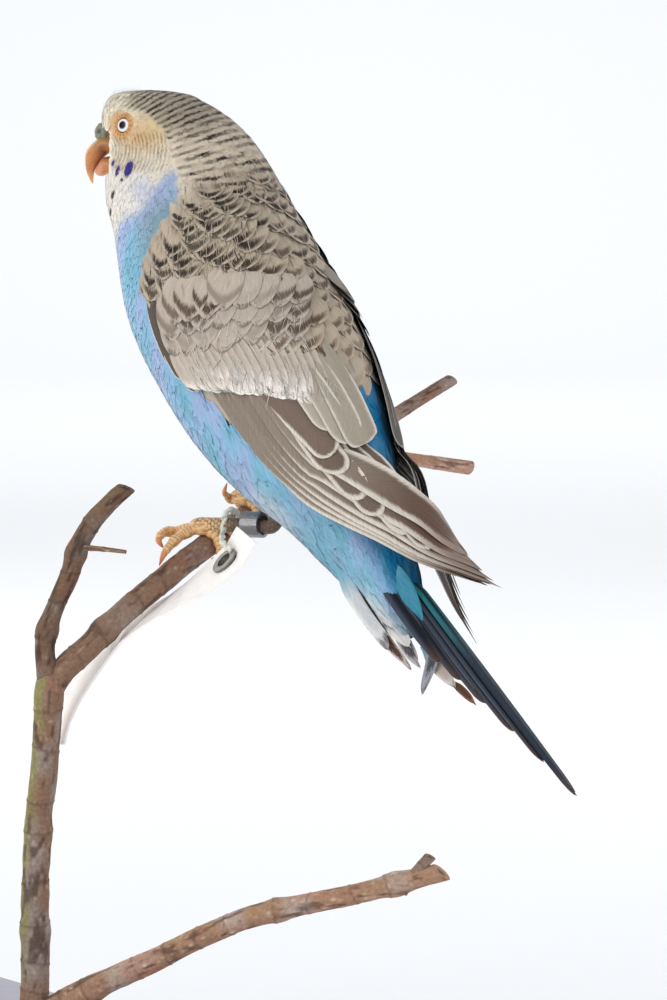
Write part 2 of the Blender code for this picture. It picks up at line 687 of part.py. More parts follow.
def wing_core(name, sheet, lift):
    """The wing's thick front part, over the shoulder and the coverts."""
    share = np.linspace(0.0, 1.0, 7)
    rings = []
    for s in np.linspace(0.0, 1.0, 11):
        along = CORE_REACH[0] + (CORE_REACH[1] - CORE_REACH[0]) * s**1.5
        crest = 0.55 + 1.5 * max(0.0, math.sin(math.pi * min(1.0, 0.12 + s))) ** 0.7
        heights = WING_STANDS_OFF + lift * crest * np.sin(math.pi * (0.08 + 0.84 * share)) ** 0.6
        turns = [sheet.edge(along, q) for q in share]
        top = [sheet.place(along, turn, height) for turn, height in zip(turns, heights)]
        under = [sheet.place(along, turn, WING_STANDS_OFF) for turn in turns[::-1]]
        rings.append(top + under)
    return loft(name, rings)


def wing_feather(sheet, root, tip, width, heights, rows=5, bend=0.0, roundness=0.5):
    """One feather on the sheet from its root to its tip, given as place along and angle."""
    s = np.linspace(0.0, 1.0, rows)
    along = root[0] + (tip[0] - root[0]) * s
    turn = np.radians(root[1] + (tip[1] - root[1]) * s + bend * np.sin(math.pi * s))
    height = heights[0] + (heights[1] - heights[0]) * s
    places = [sheet.place(a, t, h) for a, t, h in zip(along, turn, height)]
    outs = [sheet.normal(a, t) for a, t in zip(along, turn)]
    widths = feather_widths(width * MM, rows, roundness)
    return vane("feather", places, outs, widths, VANE_THICKNESS, VANE_TIP_THICKNESS)


def make_wing(name, rings, side, bodies, material, primaries, lift):
    """A folded wing: its core with tiers of feathers that overlap down to the tips."""
    sheet = WingSheet(rings, side, bodies)
    pieces = [wing_core(name, sheet, lift)]
    for index, (along, turn, width) in enumerate(primaries):
        root = (-12.0, 84.0 - 5.0 * index)
        guide = math.degrees(sheet.edge((root[0] + along) / 2, 0.04 + 0.1 * index))
        bend = guide - (root[1] + turn) / 2
        heights = (0.85 + 0.14 * index, 0.85 + PRIMARY_LIFT * index)
        pieces.append(wing_feather(sheet, root, (along, turn), width, heights, rows=6, bend=bend,
                                   roundness=0.7))
    for index, (along, turn, width) in enumerate(SECONDARIES):
        root = (-8.0, 66.0 - 6.0 * index)
        heights = (1.3 * lift, (2.6 - 0.1 * index) * lift)
        pieces.append(wing_feather(sheet, root, (along, turn), width, heights))
    for index, (along, turn, width) in enumerate(TERTIALS):
        root = (-2.0, 46.0 - 9.0 * index)
        heights = (1.5 * lift, (2.7 + 0.3 * index) * lift)
        pieces.append(wing_feather(sheet, root, (along, turn), width, heights))
    for index in range(COVERTS):
        root = (8.0 - 0.9 * index, 94.0 - 7.6 * index)
        tip = (-6.0 - 2.0 * index, 92.0 - 7.4 * index)
        heights = (1.2 * lift, (2.35 + 0.06 * (index % 2)) * lift)
        pieces.append(wing_feather(sheet, root, tip, COVERT_WIDTH, heights, rows=3))
    return fuse(name, pieces, material)


def make_tail(material, rump):
    """Twelve feathers in graduated pairs, the middle pair on top and longest."""
    root = np.array(TAIL_ROOT)
    reach = np.array(TAIL_TIP) - root
    direction = reach / np.linalg.norm(reach)
    rise = np.array([-direction[1], direction[0]])
    if rise[1] < 0:
        rise = -rise
    up = BODY_ALONG * rise[0] + BODY_BACK * rise[1]
    pieces = []
    for pair in range(TAIL_PAIRS):
        for side in (1, -1):
            length = np.linalg.norm(reach) * TAIL_SHORTENING[pair]
            if side < 0:
                length *= 0.985
            rows = 6 if pair < 3 else 4
            s = np.linspace(0.0, 1.0, rows)
            line = root + np.outer(s * length, direction)
            out = side * (TAIL_STEP_OUT * (0.4 + pair) + 0.5 * MM * pair * s)
            down = TAIL_STEP_DOWN * pair + (0.3 * MM if side < 0 else 0.0)
            path = in_body(line[:, 0], 0.0, line[:, 1]) + np.outer(out, BODY_LEFT) - up * down
            roll = side * 0.1 * pair
            normal = up * math.cos(roll) + BODY_LEFT * math.sin(roll)
            widths = feather_widths(TAIL_FEATHER_WIDTH, rows, 0.9)
            pieces.append(vane("feather", path, np.tile(normal, (rows, 1)), widths,
                               VANE_THICKNESS * 1.2, VANE_TIP_THICKNESS))
    place = in_body(*np.insert(root + direction * 13.0, 1, 0.0)) - up * 1.5 * MM
    axes = [BODY_LEFT, up, BODY_ALONG * direction[0] + BODY_BACK * direction[1]]
    pieces.append(ball("root", place, TAIL_BULB, axes, rows=5, sides=10))
    tail = fuse("tail", pieces, material)
    keep_clear(tail, [rump])
    return tail


class Route:
    """A smooth path through points in millimetres, with a radius all along it."""

    def __init__(self, points, radii, rows):
        points = np.asarray(points, float) * MM
        steps = np.linalg.norm(np.diff(points, axis=0), axis=1)
        self.keys = np.concatenate([[0.0], np.cumsum(steps)])
        self.points = points
        self.radii = np.asarray(radii, float) * MM
        self.rows = np.linspace(0.0, self.keys[-1], rows)

    def centre(self, reach):
        """The place on the path at a reach along it."""
        return smooth_through(self.keys, self.points, reach)

    def radius(self, reach):
        """The radius at a reach along the path."""
        return smooth_through(self.keys, self.radii, reach)

    def frame(self, reach):
        """The direction along the path, and the upward and forward ones across it."""
        step = 0.5 * MM
        along = self.centre(reach + step) - self.centre(reach - step)
        along /= np.linalg.norm(along)
        up = UP - along * (UP @ along)
        up /= np.linalg.norm(up)
        return along, up, np.cross(up, along)


def make_branch(name, route, knots, material, sides=11):
    """A length of the branch, swollen at its knots."""
    radii = route.radius(route.rows)
    for reach, swell, spread in knots:
        radii = radii + swell * MM * np.exp(-(((route.rows - reach * MM) / (spread * MM)) ** 2))
    rings = tube_rings(route.centre(route.rows), radii, sides=sides, hint=np.array([0.0, 1.0, 0.1]))
    return loft(name, rings, material)


def make_branches(bark):
    """The stem, its fork, the perch that runs on behind the bird, and the side twigs."""
    stem = make_branch("branch_stem", Route(STEM_ROUTE, STEM_RADII, 14),
                       [(20.0, 0.5, 2.2), (41.0, 0.25, 2.5), (69.5, 0.3, 3.0)], bark)
    left = make_branch("branch_left", Route(LEFT_ROUTE, LEFT_RADII, 14),
                       [(12.0, 0.5, 1.8), (29.0, 0.45, 1.8)], bark)
    twig = make_branch("branch_twig_thin", Route(THIN_ROUTE, [0.62, 0.52, 0.4], 5), [], bark, sides=8)
    perch_route = Route(PERCH_ROUTE, PERCH_RADII, 22)
    perch = make_branch("branch_perch", perch_route, [(19.0, 0.35, 2.0), (105.0, 0.3, 2.0)], bark)
    far = make_branch("branch_twig_far", Route(FAR_ROUTE, [1.75, 1.65, 1.5, 1.55], 7), [], bark, sides=10)
    low = make_branch("branch_low", Route(LOW_ROUTE, LOW_RADII, 18),
                      [(14.0, 0.3, 2.5), (58.0, 0.35, 2.0), (83.0, 0.5, 2.2)], bark)
    stub = make_branch("branch_stub", Route(STUB_ROUTE, [1.3, 1.05, 1.15], 5), [], bark, sides=8)
    keep_clear(left, [stem])
    keep_clear(twig, [left])
    keep_clear(perch, [stem, left])
    keep_clear(far, [perch])
    keep_clear(low, [stem])
    keep_clear(stub, [low])
    return perch_route, perch


def make_foot(name, side, palm_at, toes, perch_route, perch, skin, horn):
    """A foot on the perch: its palm and toes as one body, and each claw on its own."""
    along, up, ahead = perch_route.frame(palm_at * MM)
    lift = perch_route.radius(palm_at * MM) + GAP + 1.5 * MM
    palm = perch_route.centre(palm_at * MM) + up * lift + ahead * 0.3 * MM
    pieces = [ball("palm", palm, PALM, [ahead, along, up], rows=6, sides=10)]
    claws = []
    for toe, points in toes.items():
        path = []
        for reach, angle, height in points:
            place = perch_route.centre((palm_at + reach) * MM)
            _, over, front = perch_route.frame((palm_at + reach) * MM)
            angle = math.radians(angle)
            out = over * math.cos(angle) + front * math.sin(angle)
            path.append(place + out * (perch_route.radius((palm_at + reach) * MM) + height * MM))
        path = smooth_path([palm] + path, 11)
        radii = np.interp(np.linspace(0, 1, 8), [0, 0.7, 1], TOE_RADII) * MM
        pieces.append(loft("toe", tube_rings(path[:8], radii, sides=7)))
        step = (path[8] - path[7]) / np.linalg.norm(path[8] - path[7])
        claw_path = smooth_path(np.vstack([path[7] + step * (GAP + 0.04 * MM), path[8:]]), 5)
        claw_radii = np.interp(np.linspace(0, 1, 5), [0, 0.5, 1], CLAW_RADII) * MM
        claws.append(loft("claw_" + side + "_" + toe, tube_rings(claw_path, claw_radii, sides=6), horn))
    foot = fuse(name, pieces, skin)
    keep_clear(foot, [perch])
    for claw in claws:
        keep_clear(claw, [foot, perch])
    return foot, palm


def make_leg(name, hip, middle, palm, neighbours, skin):
    """A leg: the feathered thigh against the belly and the bare shank down to the foot."""
    shank = smooth_path([hip, middle, palm], 7)
    radii = np.interp(np.linspace(0, 1, 7), [0, 0.35, 0.6, 1], SHANK_RADII) * MM
    axes = [BODY_ALONG, BODY_LEFT, BODY_BACK]
    thigh = ball("thigh", hip + (BODY_BACK * 4.5 + BODY_ALONG * 2.0) * MM, THIGH, axes, rows=6, sides=11)
    leg = fuse(name, [thigh, loft("shank", tube_rings(shank, radii, sides=10))], skin)
    keep_clear(leg, neighbours)
    return leg


def label_frames(count):
    """Centres, directions across and normals along the hanging label."""
    centres = smooth_path(np.array(LABEL_ROUTE) * MM, count)
    share = np.linspace(0.0, len(LABEL_DIP) - 1.0, count)
    dip = smooth_through(np.arange(len(LABEL_DIP)), LABEL_DIP, share)
    tangents = np.gradient(centres, axis=0)
    tangents /= np.linalg.norm(tangents, axis=1, keepdims=True)
    across = np.column_stack([np.tile(LABEL_ACROSS, (count, 1)), dip])
    across = across - tangents * np.sum(across * tangents, axis=1, keepdims=True)
    across /= np.linalg.norm(across, axis=1, keepdims=True)
    return centres, across, np.cross(tangents, across)


def make_label(paper, metal, cotton, leg, foot):
    """The paper label with its eyelet, on a string round the left shank."""
    centres, across, normals = label_frames(LABEL_ROWS)
    widths = np.full(LABEL_ROWS, LABEL_WIDTH)
    label = vane("label", centres, normals, widths, LABEL_THICKNESS, LABEL_THICKNESS)
    label.data.materials.append(paper)
    rows = np.arange(LABEL_ROWS)
    middle, side, out = (smooth_through(rows, values, EYELET_ROW) for values in (centres, across, normals))
    punch = round_peg("punch", middle, out, EYELET_BARREL + 1.4 * GAP, 4.0 * MM)
    combine(label, [punch], "DIFFERENCE")
    inside = LABEL_THICKNESS / 2 + 1.4 * GAP
    outside = inside + EYELET_LIP
    barrel = EYELET_BARREL
    profile = [(EYELET_INNER, -outside), (EYELET_OUTER, -outside), (EYELET_OUTER, -inside), (barrel, -inside),
               (barrel, inside), (EYELET_OUTER, inside), (EYELET_OUTER, outside), (EYELET_INNER, outside)]
    turned_ring("label_eyelet", middle, out, profile, 18, metal)
    shank = STRING_AT * MM
    near = BODY_LEFT
    turn = 2.75 * MM
    edge = middle - side * 6.0 * MM
    loop = [middle - side * 0.5 * MM, middle + out * 1.8 * MM - side * 1.6 * MM, edge + out * 1.9 * MM,
            shank + near * turn - UP * 1.5 * MM, shank + near * turn * 0.8 + UP * turn * 0.6,
            shank + UP * turn, shank - near * turn * 0.8 + UP * turn * 0.6,
            shank - near * turn - UP * 0.8 * MM, shank - near * 1.4 * MM - UP * 3.4 * MM,
            edge - out * 2.0 * MM, middle - out * 1.8 * MM - side * 1.6 * MM]
    string = closed_tube("label_string", loop, STRING_RADIUS, 38, 5, cotton)
    keep_clear(string, [leg, foot])
    return string


def round_peg(name, centre, axis, radius, length):
    """A short round peg along an axis."""
    first, second, out = frame_on(axis)
    around = np.linspace(0.0, 2 * math.pi, 18, endpoint=False)
    spoke = (np.outer(np.cos(around), first) + np.outer(np.sin(around), second)) * radius
    return loft(name, [centre + spoke - out * length / 2, centre + spoke + out * length / 2])


def closed_tube(name, points, radius, count, sides, material):
    """A tube along a closed smooth loop."""
    points = np.asarray(points, float)
    wrapped = np.vstack([points[-2:], points, points[:2]])
    keys = np.arange(len(wrapped)) - 2.0
    path = smooth_through(keys, wrapped, np.linspace(0.0, len(points), count, endpoint=False))
    tangents = np.roll(path, -1, axis=0) - np.roll(path, 1, axis=0)
    tangents /= np.linalg.norm(tangents, axis=1, keepdims=True)
    hub = path.mean(axis=0)
    inward = hub - path
    inward -= tangents * np.sum(inward * tangents, axis=1, keepdims=True)
    inward /= np.linalg.norm(inward, axis=1, keepdims=True)
    beside = np.cross(tangents, inward)
    section = np.linspace(0.0, 2 * math.pi, sides, endpoint=False)
    places = path[:, None, :] + radius * (np.cos(section)[None, :, None] * inward[:, None, :]
                                          + np.sin(section)[None, :, None] * beside[:, None, :])
    faces = []
    for row in range(count):
        for side in range(sides):
            start = row * sides
            after_row = (row + 1) % count * sides
            after = (side + 1) % sides
            faces.append((start + side, start + after, after_row + after, after_row + side))
    return add_object(name, places.reshape(-1, 3), faces, material)


def make_base(paint_grey):
    """The slab under the branch, turned about its middle."""
    turn = Matrix.Rotation(BASE_TURN, 4, "Z")
    half = Vector((BASE_LENGTH / 2, BASE_WIDTH / 2, BASE_THICKNESS / 2))
    body = bmesh.new()
    bmesh.ops.create_cube(body, size=1.0)
    bmesh.ops.scale(body, vec=half * 2, verts=body.verts)
    bmesh.ops.bevel(body, geom=list(body.edges), offset=BASE_BEVEL, segments=2, affect="EDGES")
    bmesh.ops.translate(body, vec=(0.0, 0.0, BASE_THICKNESS / 2), verts=body.verts)
    bmesh.ops.rotate(body, matrix=turn, verts=body.verts)
    mesh = bpy.data.meshes.new("stand_base")
    body.to_mesh(mesh)
    body.free()
    mesh.materials.append(paint_grey)
    base = bpy.data.objects.new("stand_base", mesh)
    bpy.context.scene.collection.objects.link(base)
    return base


def main():
    for thing in list(bpy.data.objects):
        bpy.data.objects.remove(thing)
    barred = paint("barred_plumage", (0.62, 0.56, 0.47), 0.8)
    blue = paint("blue_plumage", (0.2, 0.5, 0.72), 0.8)
    wing_grey = paint("wing_feather", (0.45, 0.38, 0.32), 0.7)
    tail_blue = paint("tail_feather", (0.03, 0.07, 0.13), 0.6)
    horn = paint("bill_horn", (0.55, 0.24, 0.07), 0.4)
    wax = paint("cere_skin", (0.25, 0.3, 0.3), 0.5)
    glass = paint("eye_glass", (0.8, 0.78, 0.74), 0.08)
    skin = paint("foot_skin", (0.5, 0.3, 0.13), 0.6)
    claw_horn = paint("claw_horn", (0.55, 0.25, 0.08), 0.4)
    bark = paint("bark", (0.2, 0.12, 0.09), 0.85)
    metal = paint("band_metal", (0.7, 0.7, 0.72), 0.3, 1.0)
    eyelet_metal = paint("eyelet_metal", (0.4, 0.38, 0.35), 0.45, 1.0)
    paper = paint("label_paper", (0.85, 0.8, 0.74), 0.8)
    cotton = paint("string_cotton", (0.7, 0.7, 0.64), 0.9)
    grey = paint("base_paint", (0.4, 0.39, 0.42), 0.5)

    head, eyes = make_head(barred)
    neck = body_length("neck", NECK_FROM + 0.2, HEAD_FROM - 0.35, 7, barred)
    torso = body_length("torso", TORSO_FROM + 0.2, NECK_FROM - 0.2, 14, blue)
    rump = body_length("rump", RUMP_FROM, TORSO_FROM - 0.2, 7, blue)
    for side, (centre, out) in zip(("left", "right"), eyes):
        ball("eye_" + side, centre, [EYE_RADIUS] * 3, frame_on(out), rows=7, sides=14, material=glass)
    upper, _ = make_bill(horn, head, neck)
    make_cere(wax, head, upper)
    bodies = [torso, neck, rump]
    make_wing("wing_left", LEFT_WING_RINGS, 1, bodies, wing_grey, LEFT_PRIMARIES, LEFT_LIFT)
    make_wing("wing_right", RIGHT_WING_RINGS, -1, bodies, wing_grey, RIGHT_PRIMARIES, RIGHT_LIFT)
    make_tail(tail_blue, rump)
    route, perch = make_branches(bark)
    left_foot, left_palm = make_foot("foot_left", "left", LEFT_PALM_AT, LEFT_TOES, route, perch,
                                     skin, claw_horn)
    right_foot, right_palm = make_foot("foot_right", "right", RIGHT_PALM_AT, RIGHT_TOES, route,
                                       perch, skin, claw_horn)
    left_leg = make_leg("leg_left", LEFT_HIP, BAND_AT, left_palm, [torso, rump, left_foot, perch], skin)
    right_knee = (RIGHT_HIP + right_palm) / 2
    make_leg("leg_right", RIGHT_HIP, right_knee, right_palm, [torso, rump, right_foot, perch], skin)
    half = BAND_LENGTH / 2
    profile = [(BAND_INNER, -half), (BAND_OUTER, -half), (BAND_OUTER, half), (BAND_INNER, half)]
    below = (left_palm - BAND_AT) / np.linalg.norm(left_palm - BAND_AT)
    above = (BAND_AT - LEFT_HIP) / np.linalg.norm(BAND_AT - LEFT_HIP)
    turned_ring("leg_band", BAND_AT, below + above, profile, BAND_SIDES, metal)
    make_label(paper, eyelet_metal, cotton, left_leg, left_foot)
    make_base(grey)


main()
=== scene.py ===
import math

import bpy
import numpy as np
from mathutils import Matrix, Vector
from mathutils.bvhtree import BVHTree


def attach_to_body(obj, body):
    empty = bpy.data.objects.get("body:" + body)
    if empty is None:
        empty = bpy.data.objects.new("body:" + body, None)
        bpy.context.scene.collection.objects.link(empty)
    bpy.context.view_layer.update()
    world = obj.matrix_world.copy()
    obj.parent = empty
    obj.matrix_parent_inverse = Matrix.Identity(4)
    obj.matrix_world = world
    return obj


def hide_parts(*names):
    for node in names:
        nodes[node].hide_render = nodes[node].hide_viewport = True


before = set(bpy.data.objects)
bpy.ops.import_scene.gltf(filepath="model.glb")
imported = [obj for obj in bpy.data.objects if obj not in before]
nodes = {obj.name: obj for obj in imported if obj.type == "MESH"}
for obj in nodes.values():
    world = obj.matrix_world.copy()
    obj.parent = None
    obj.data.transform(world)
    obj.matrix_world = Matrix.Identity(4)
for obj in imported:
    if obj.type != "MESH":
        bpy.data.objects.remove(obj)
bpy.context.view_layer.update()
scene = bpy.context.scene
mm = 0.001
skyward = np.array([0.0, 0.0, 1.0])

# The bird's own frame, in millimetres and degrees: its middle, where it heads, how far it leans,
# then its rings from undertail to crown: place along, rise, lean, yaw, half width, half depth
bird = {
    "at": (63.5, 45.0, 150.7), "yaw": 35.0, "lean": 35.6, "headYaw": 12.0, "billAt": (34.6, 62.0, 196.0),
    "rings": [
        (-69.0, 1.5, 26, 35, 1.6, 1.6), (-64.0, 1.8, 26, 35, 4.6, 4.4), (-57.0, 2.2, 26, 35, 7.2, 6.8),
        (-48.5, 2.0, 26, 35, 9.5, 9.2), (-39.0, 1.9, 26, 35, 12.5, 11.8), (-29.5, 1.6, 27, 35, 16.0, 15.6),
        (-20.0, 1.6, 28, 35, 18.2, 18.8), (-10.5, 1.8, 27, 35, 19.5, 21.0), (-2.3, 2.1, 23.5, 35, 20.3, 21.9),
        (5.7, 2.5, 18.5, 35, 20.5, 22.6), (13.0, 3.2, 14, 34, 20.3, 22.6), (19.0, 4.5, 11, 33, 19.5, 22.0),
        (25.0, 6.0, 9, 31, 18.3, 20.9), (30.5, 7.2, 8, 28, 16.5, 19.9), (36.7, 8.2, 6.5, 24, 14.5, 19.2),
        (41.0, 9.5, 4.5, 20, 13.0, 18.1), (44.7, 10.7, 3, 17, 12.0, 16.8), (48.3, 11.4, 1.5, 15, 11.3, 15.8),
        (51.7, 11.6, 0, 14, 10.6, 14.8), (55.1, 11.6, -0.5, 13, 9.8, 13.0), (58.2, 11.4, -0.5, 12, 8.4, 10.3),
        (60.6, 11.3, 0, 12, 5.6, 6.2), (61.15, 11.2, 0, 12, 2.9, 3.2), (61.35, 11.2, 0, 12, 0.0, 0.0),
    ],
}


def unit(v):  # each vector over its own length
    return v / np.maximum(np.linalg.norm(v, axis=-1, keepdims=True), 1e-12)


def ramp(low, high, x):  # 0 below low, 1 above high, 3s^2 - 2s^3 between
    s = np.clip((x - low) / (high - low), 0.0, 1.0)
    return s * s * (3 - 2 * s)


def bump(x, middle, spread):  # bell curve, 1 at the middle
    return np.exp(-(((x - middle) / spread) ** 2))


def circle(count):  # even angles round a circle
    return np.linspace(0, 2 * math.pi, count, endpoint=False)


def spokes(first, second, turn):  # at each row, first * cos(turn) + second * sin(turn)
    return first[:, None] * np.cos(turn)[None, :, None] + second[:, None] * np.sin(turn)[None, :, None]


def pairs(first, second):  # both values side by side, as the last axis
    return np.stack(np.broadcast_arrays(first, second), -1)


def soften(grid):  # every inner row takes a quarter of both its neighbours
    grid[1:-1] = (grid[:-2] + 2 * grid[1:-1] + grid[2:]) / 4


def running(places):  # length run along rows of places, from 0
    steps = np.linalg.norm(np.diff(np.asarray(places, float), axis=0), axis=-1)
    return np.concatenate([np.zeros((1, *steps.shape[1:])), np.cumsum(steps, axis=0)])


def raised(place, normal, height):  # places moved out along their normals by a height in millimetres
    return place + normal * (height * mm)[..., None]


def smoothAt(keys, values, at):
    # Between two keys: both values by 2s^3 - 3s^2 + 1 and its mirror, both slopes by s^3 - 2s^2 + s
    keys = np.asarray(keys, float)
    values = np.asarray(values, float)
    slopes = np.gradient(values, keys, axis=0)
    at = np.clip(np.asarray(at, float), keys[0], keys[-1])
    cell = np.clip(np.searchsorted(keys, at, side="right") - 1, 0, len(keys) - 2)
    width = keys[cell + 1] - keys[cell]
    s = (at - keys[cell]) / width
    if values.ndim > 1:
        width = width[..., None]
        s = s[..., None]
    start = values[cell] * (2 * s**3 - 3 * s**2 + 1) + slopes[cell] * width * (s**3 - 2 * s**2 + s)
    end = values[cell + 1] * (3 * s**2 - 2 * s**3) + slopes[cell + 1] * width * (s**3 - s**2)
    return start + end


def heading(yaw):  # (-cos, sin, 0) of the yaw; at 0 it points to the photo's left
    yaw = np.radians(yaw)
    return np.stack([-np.cos(yaw), np.sin(yaw), np.zeros_like(yaw)], -1)


def leftward(yaw):  # (-sin, -cos, 0) of the yaw, to the left of the heading
    yaw = np.radians(yaw)
    return np.stack([-np.sin(yaw), -np.cos(yaw), np.zeros_like(yaw)], -1)


ringTable = np.array(bird["rings"])
leanBy = math.radians(bird["lean"])
bodyForward = heading(bird["yaw"])
bodyLeft = leftward(bird["yaw"])
bodyAlong = bodyForward * math.sin(leanBy) + skyward * math.cos(leanBy)
bodyBack = skyward * math.sin(leanBy) - bodyForward * math.cos(leanBy)
headForward = heading(bird["headYaw"])
headLeft = leftward(bird["headYaw"])
billRoot = np.array(bird["billAt"]) * mm
bodyAt = np.array(bird["at"]) * mm


def inBody(along, left, back):  # millimetres in the body frame to metres in the world
    along, left, back = np.broadcast_arrays(along, left, back)
    way = along[..., None] * bodyAlong + left[..., None] * bodyLeft + back[..., None] * bodyBack
    return bodyAt + way * mm


def inHead(forward, left, rise):  # millimetres from the bill's root to metres in the world
    forward, left, rise = np.broadcast_arrays(forward, left, rise)
    way = forward[..., None] * headForward + left[..., None] * headLeft + rise[..., None] * skyward
    return billRoot + way * mm


def bodyPlace(along, turn):
    # Ring centre + left * sin(turn) * half width + back * cos(turn) * half depth; turn 0 is the mid back
    along, turn = np.broadcast_arrays(along, turn)
    values = smoothAt(ringTable[:, 0], ringTable[:, 1:], along)
    rise, lean, yaw, halfWidth, halfDepth = (values[..., k] for k in range(5))
    lean = np.radians(lean)[..., None]
    back = skyward * np.sin(lean) - heading(yaw) * np.cos(lean)
    out = leftward(yaw) * (np.sin(turn) * halfWidth)[..., None] + back * (np.cos(turn) * halfDepth)[..., None]
    return inBody(along, 0.0, rise) + out * mm


def bodyCoordinates(places):  # metres in the world to place along and angle from the mid back in degrees
    way = (places - bodyAt) / mm
    along = way @ bodyAlong
    rise = np.interp(along, ringTable[:, 0], ringTable[:, 1])
    turn = np.degrees(np.arctan2(way @ bodyLeft, way @ bodyBack - rise))
    return along, turn


def headCoordinates(places):  # millimetres forward and up from the bill's root, and to the side
    way = (places - billRoot) / mm
    return way @ headForward, way[..., 2], np.abs(way @ headLeft)


def gridFaces(rows, cols, loop=False, count=1):
    # Quads between neighbouring rows and columns; loop joins the last column to the first
    row = np.arange(rows - 1)[:, None] * cols
    col = np.arange(cols if loop else cols - 1)[None]
    after = (col + 1) % cols
    quads = np.stack([row + col, row + after, row + cols + after, row + cols + col], -1).reshape(-1, 4)
    return (quads[None] + (np.arange(count) * rows * cols)[:, None, None]).reshape(-1, 4)


def tubeFaces(rows, cols, flip=False):
    # Quads of a tube of rings, and triangles from its first and last ring to their poles, which come last
    side = np.arange(cols)
    after = (side + 1) % cols
    last = (rows - 1) * cols
    first = np.stack([after, side, np.full(cols, rows * cols)], -1)
    fans = np.vstack([first, np.stack([last + side, last + after, np.full(cols, rows * cols + 1)], -1)])
    faces = [gridFaces(rows, cols, loop=True), fans]
    return [part[:, ::-1] for part in faces] if flip else faces


def closeRings(rings, flip=False):
    # A tube of rings, closed at both ends by the middle of the first and last ring
    every = np.vstack([rings.reshape(-1, 3), rings[0].mean(axis=0)[None], rings[-1].mean(axis=0)[None]])
    return every, tubeFaces(*rings.shape[:2], flip)


def closeBall(values):
    # The first and last rows are poles, and come last
    return np.vstack([values[1:-1].reshape(-1, values.shape[-1]), values[0, :1], values[-1, :1]])


def makePiece(name, places, faces, material, uvs=(), colours=(), floats=(), lay=None, instead="", tint=None):
    # One mesh with its maps and vertex values; instead names the solids that it stands for
    places = np.asarray(places, float).reshape(-1, 3)
    if isinstance(faces, np.ndarray):
        faces = [faces]
    corners = np.concatenate([part.ravel() for part in faces])
    every = [row for part in faces for row in part.tolist()]
    mesh = bpy.data.meshes.new(name)
    mesh.from_pydata(places, [], every)

    def attach(key, kind, field, values):  # one value for each vertex
        mesh.attributes.new(key, kind, "POINT").data.foreach_set(field, np.asarray(values, np.float32).ravel())

    for key, values in uvs:
        layer = mesh.uv_layers.new(name=key)
        layer.data.foreach_set("uv", np.asarray(values, np.float32).reshape(-1, 2)[corners].ravel())
    for key, values in colours if tint is None else [("tint", tint)]:
        attach(key, "FLOAT_COLOR", "color", np.insert(np.asarray(values, float).reshape(-1, 3), 3, 1.0, axis=1))
    for key, values in floats:
        attach(key, "FLOAT", "value", values)
    if lay is not None:
        attach("lay", "FLOAT_VECTOR", "vector", lay)
    mesh.shade_smooth()
    mesh.materials.append(material)
    piece = bpy.data.objects.new(name, mesh)
    scene.collection.objects.link(piece)
    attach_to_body(piece, "root")
    if instead:
        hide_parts(*instead.split())


def tone(red, green, blue):  # screen values of 0 to 255 to linear light
    s = np.array([red, green, blue]) / 255
    return np.where(s <= 0.04045, s / 12.92, ((s + 0.055) / 1.055) ** 2.4)


def blend(first, second, share):  # first * (1 - share) + second * share
    share = np.asarray(share)[..., None]
    return first * (1 - share) + second * share


def paint(tones, base, *layers):  # a base tone, then each layer's tone by its share
    colour = tones[base] if isinstance(base, str) else base
    for name, share in layers:
        colour = blend(colour, tones[name], share)
    return colour


def readTones(**values):  # screen values by name to linear light
    return {key: tone(*value) for key, value in values.items()}


# Camera at the photo's angle
view = {"look": (0.081, 0.045, 0.1213), "rise": 5.0, "away": 0.9, "lens": 154.29}
camera = bpy.data.cameras.new("camera")
camera.lens = view["lens"]
camera.sensor_fit = "VERTICAL"
camera.sensor_height = 36.0
camera.clip_start = 0.05
eye = bpy.data.objects.new("camera", camera)
tilt = math.radians(view["rise"])
eye.location = Vector(view["look"]) + Vector((0.0, -math.cos(tilt), math.sin(tilt))) * view["away"]
eye.rotation_euler = (math.radians(90) - tilt, 0.0, 0.0)
scene.collection.objects.link(eye)
scene.camera = eye
print("camera set")

# Soft studio light: a wide key from the left, fill from the right, rims behind and a pale surround
studio = {
    "key": {"at": (-0.85, -0.75, 0.55), "size": 0.9, "power": 7.4, "colour": (1.0, 0.99, 0.97)},
    "fill": {"at": (0.7, -0.9, 0.5), "size": 1.0, "power": 3.0, "colour": (0.97, 0.985, 1.0)},
    "rimLeft": {"at": (-0.6, 0.7, 0.3), "size": 0.7, "power": 3.4, "colour": (1.0, 1.0, 1.0)},
    "rimRight": {"at": (0.75, 0.55, 0.4), "size": 0.6, "power": 2.6, "colour": (1.0, 1.0, 1.0)},
    "wash": {"at": (0.1, 2.0, 1.8), "size": 1.8, "power": 22.0, "colour": (1.0, 1.0, 1.0), "look": (0.1, 3.2, 0.0)},
    "surround": (0.93, 0.95, 0.98), "strength": 0.6,
}
for name in ("key", "fill", "rimLeft", "rimRight", "wash"):
    lamp = bpy.data.lights.new(name, "AREA")
    lamp.energy = studio[name]["power"]
    lamp.size = studio[name]["size"]
    lamp.color = studio[name]["colour"]
    thing = bpy.data.objects.new(name, lamp)
    thing.location = studio[name]["at"]
    aim = Vector(studio[name].get("look", view["look"])) - thing.location
    thing.rotation_euler = aim.to_track_quat("-Z", "Y").to_euler()
    scene.collection.objects.link(thing)
world = bpy.data.worlds.new("surround")
world.use_nodes = True
world.node_tree.nodes["Background"].inputs["Color"].default_value = (*studio["surround"], 1.0)
world.node_tree.nodes["Background"].inputs["Strength"].default_value = studio["strength"]
scene.world = world
scene.view_settings.view_transform = "Standard"


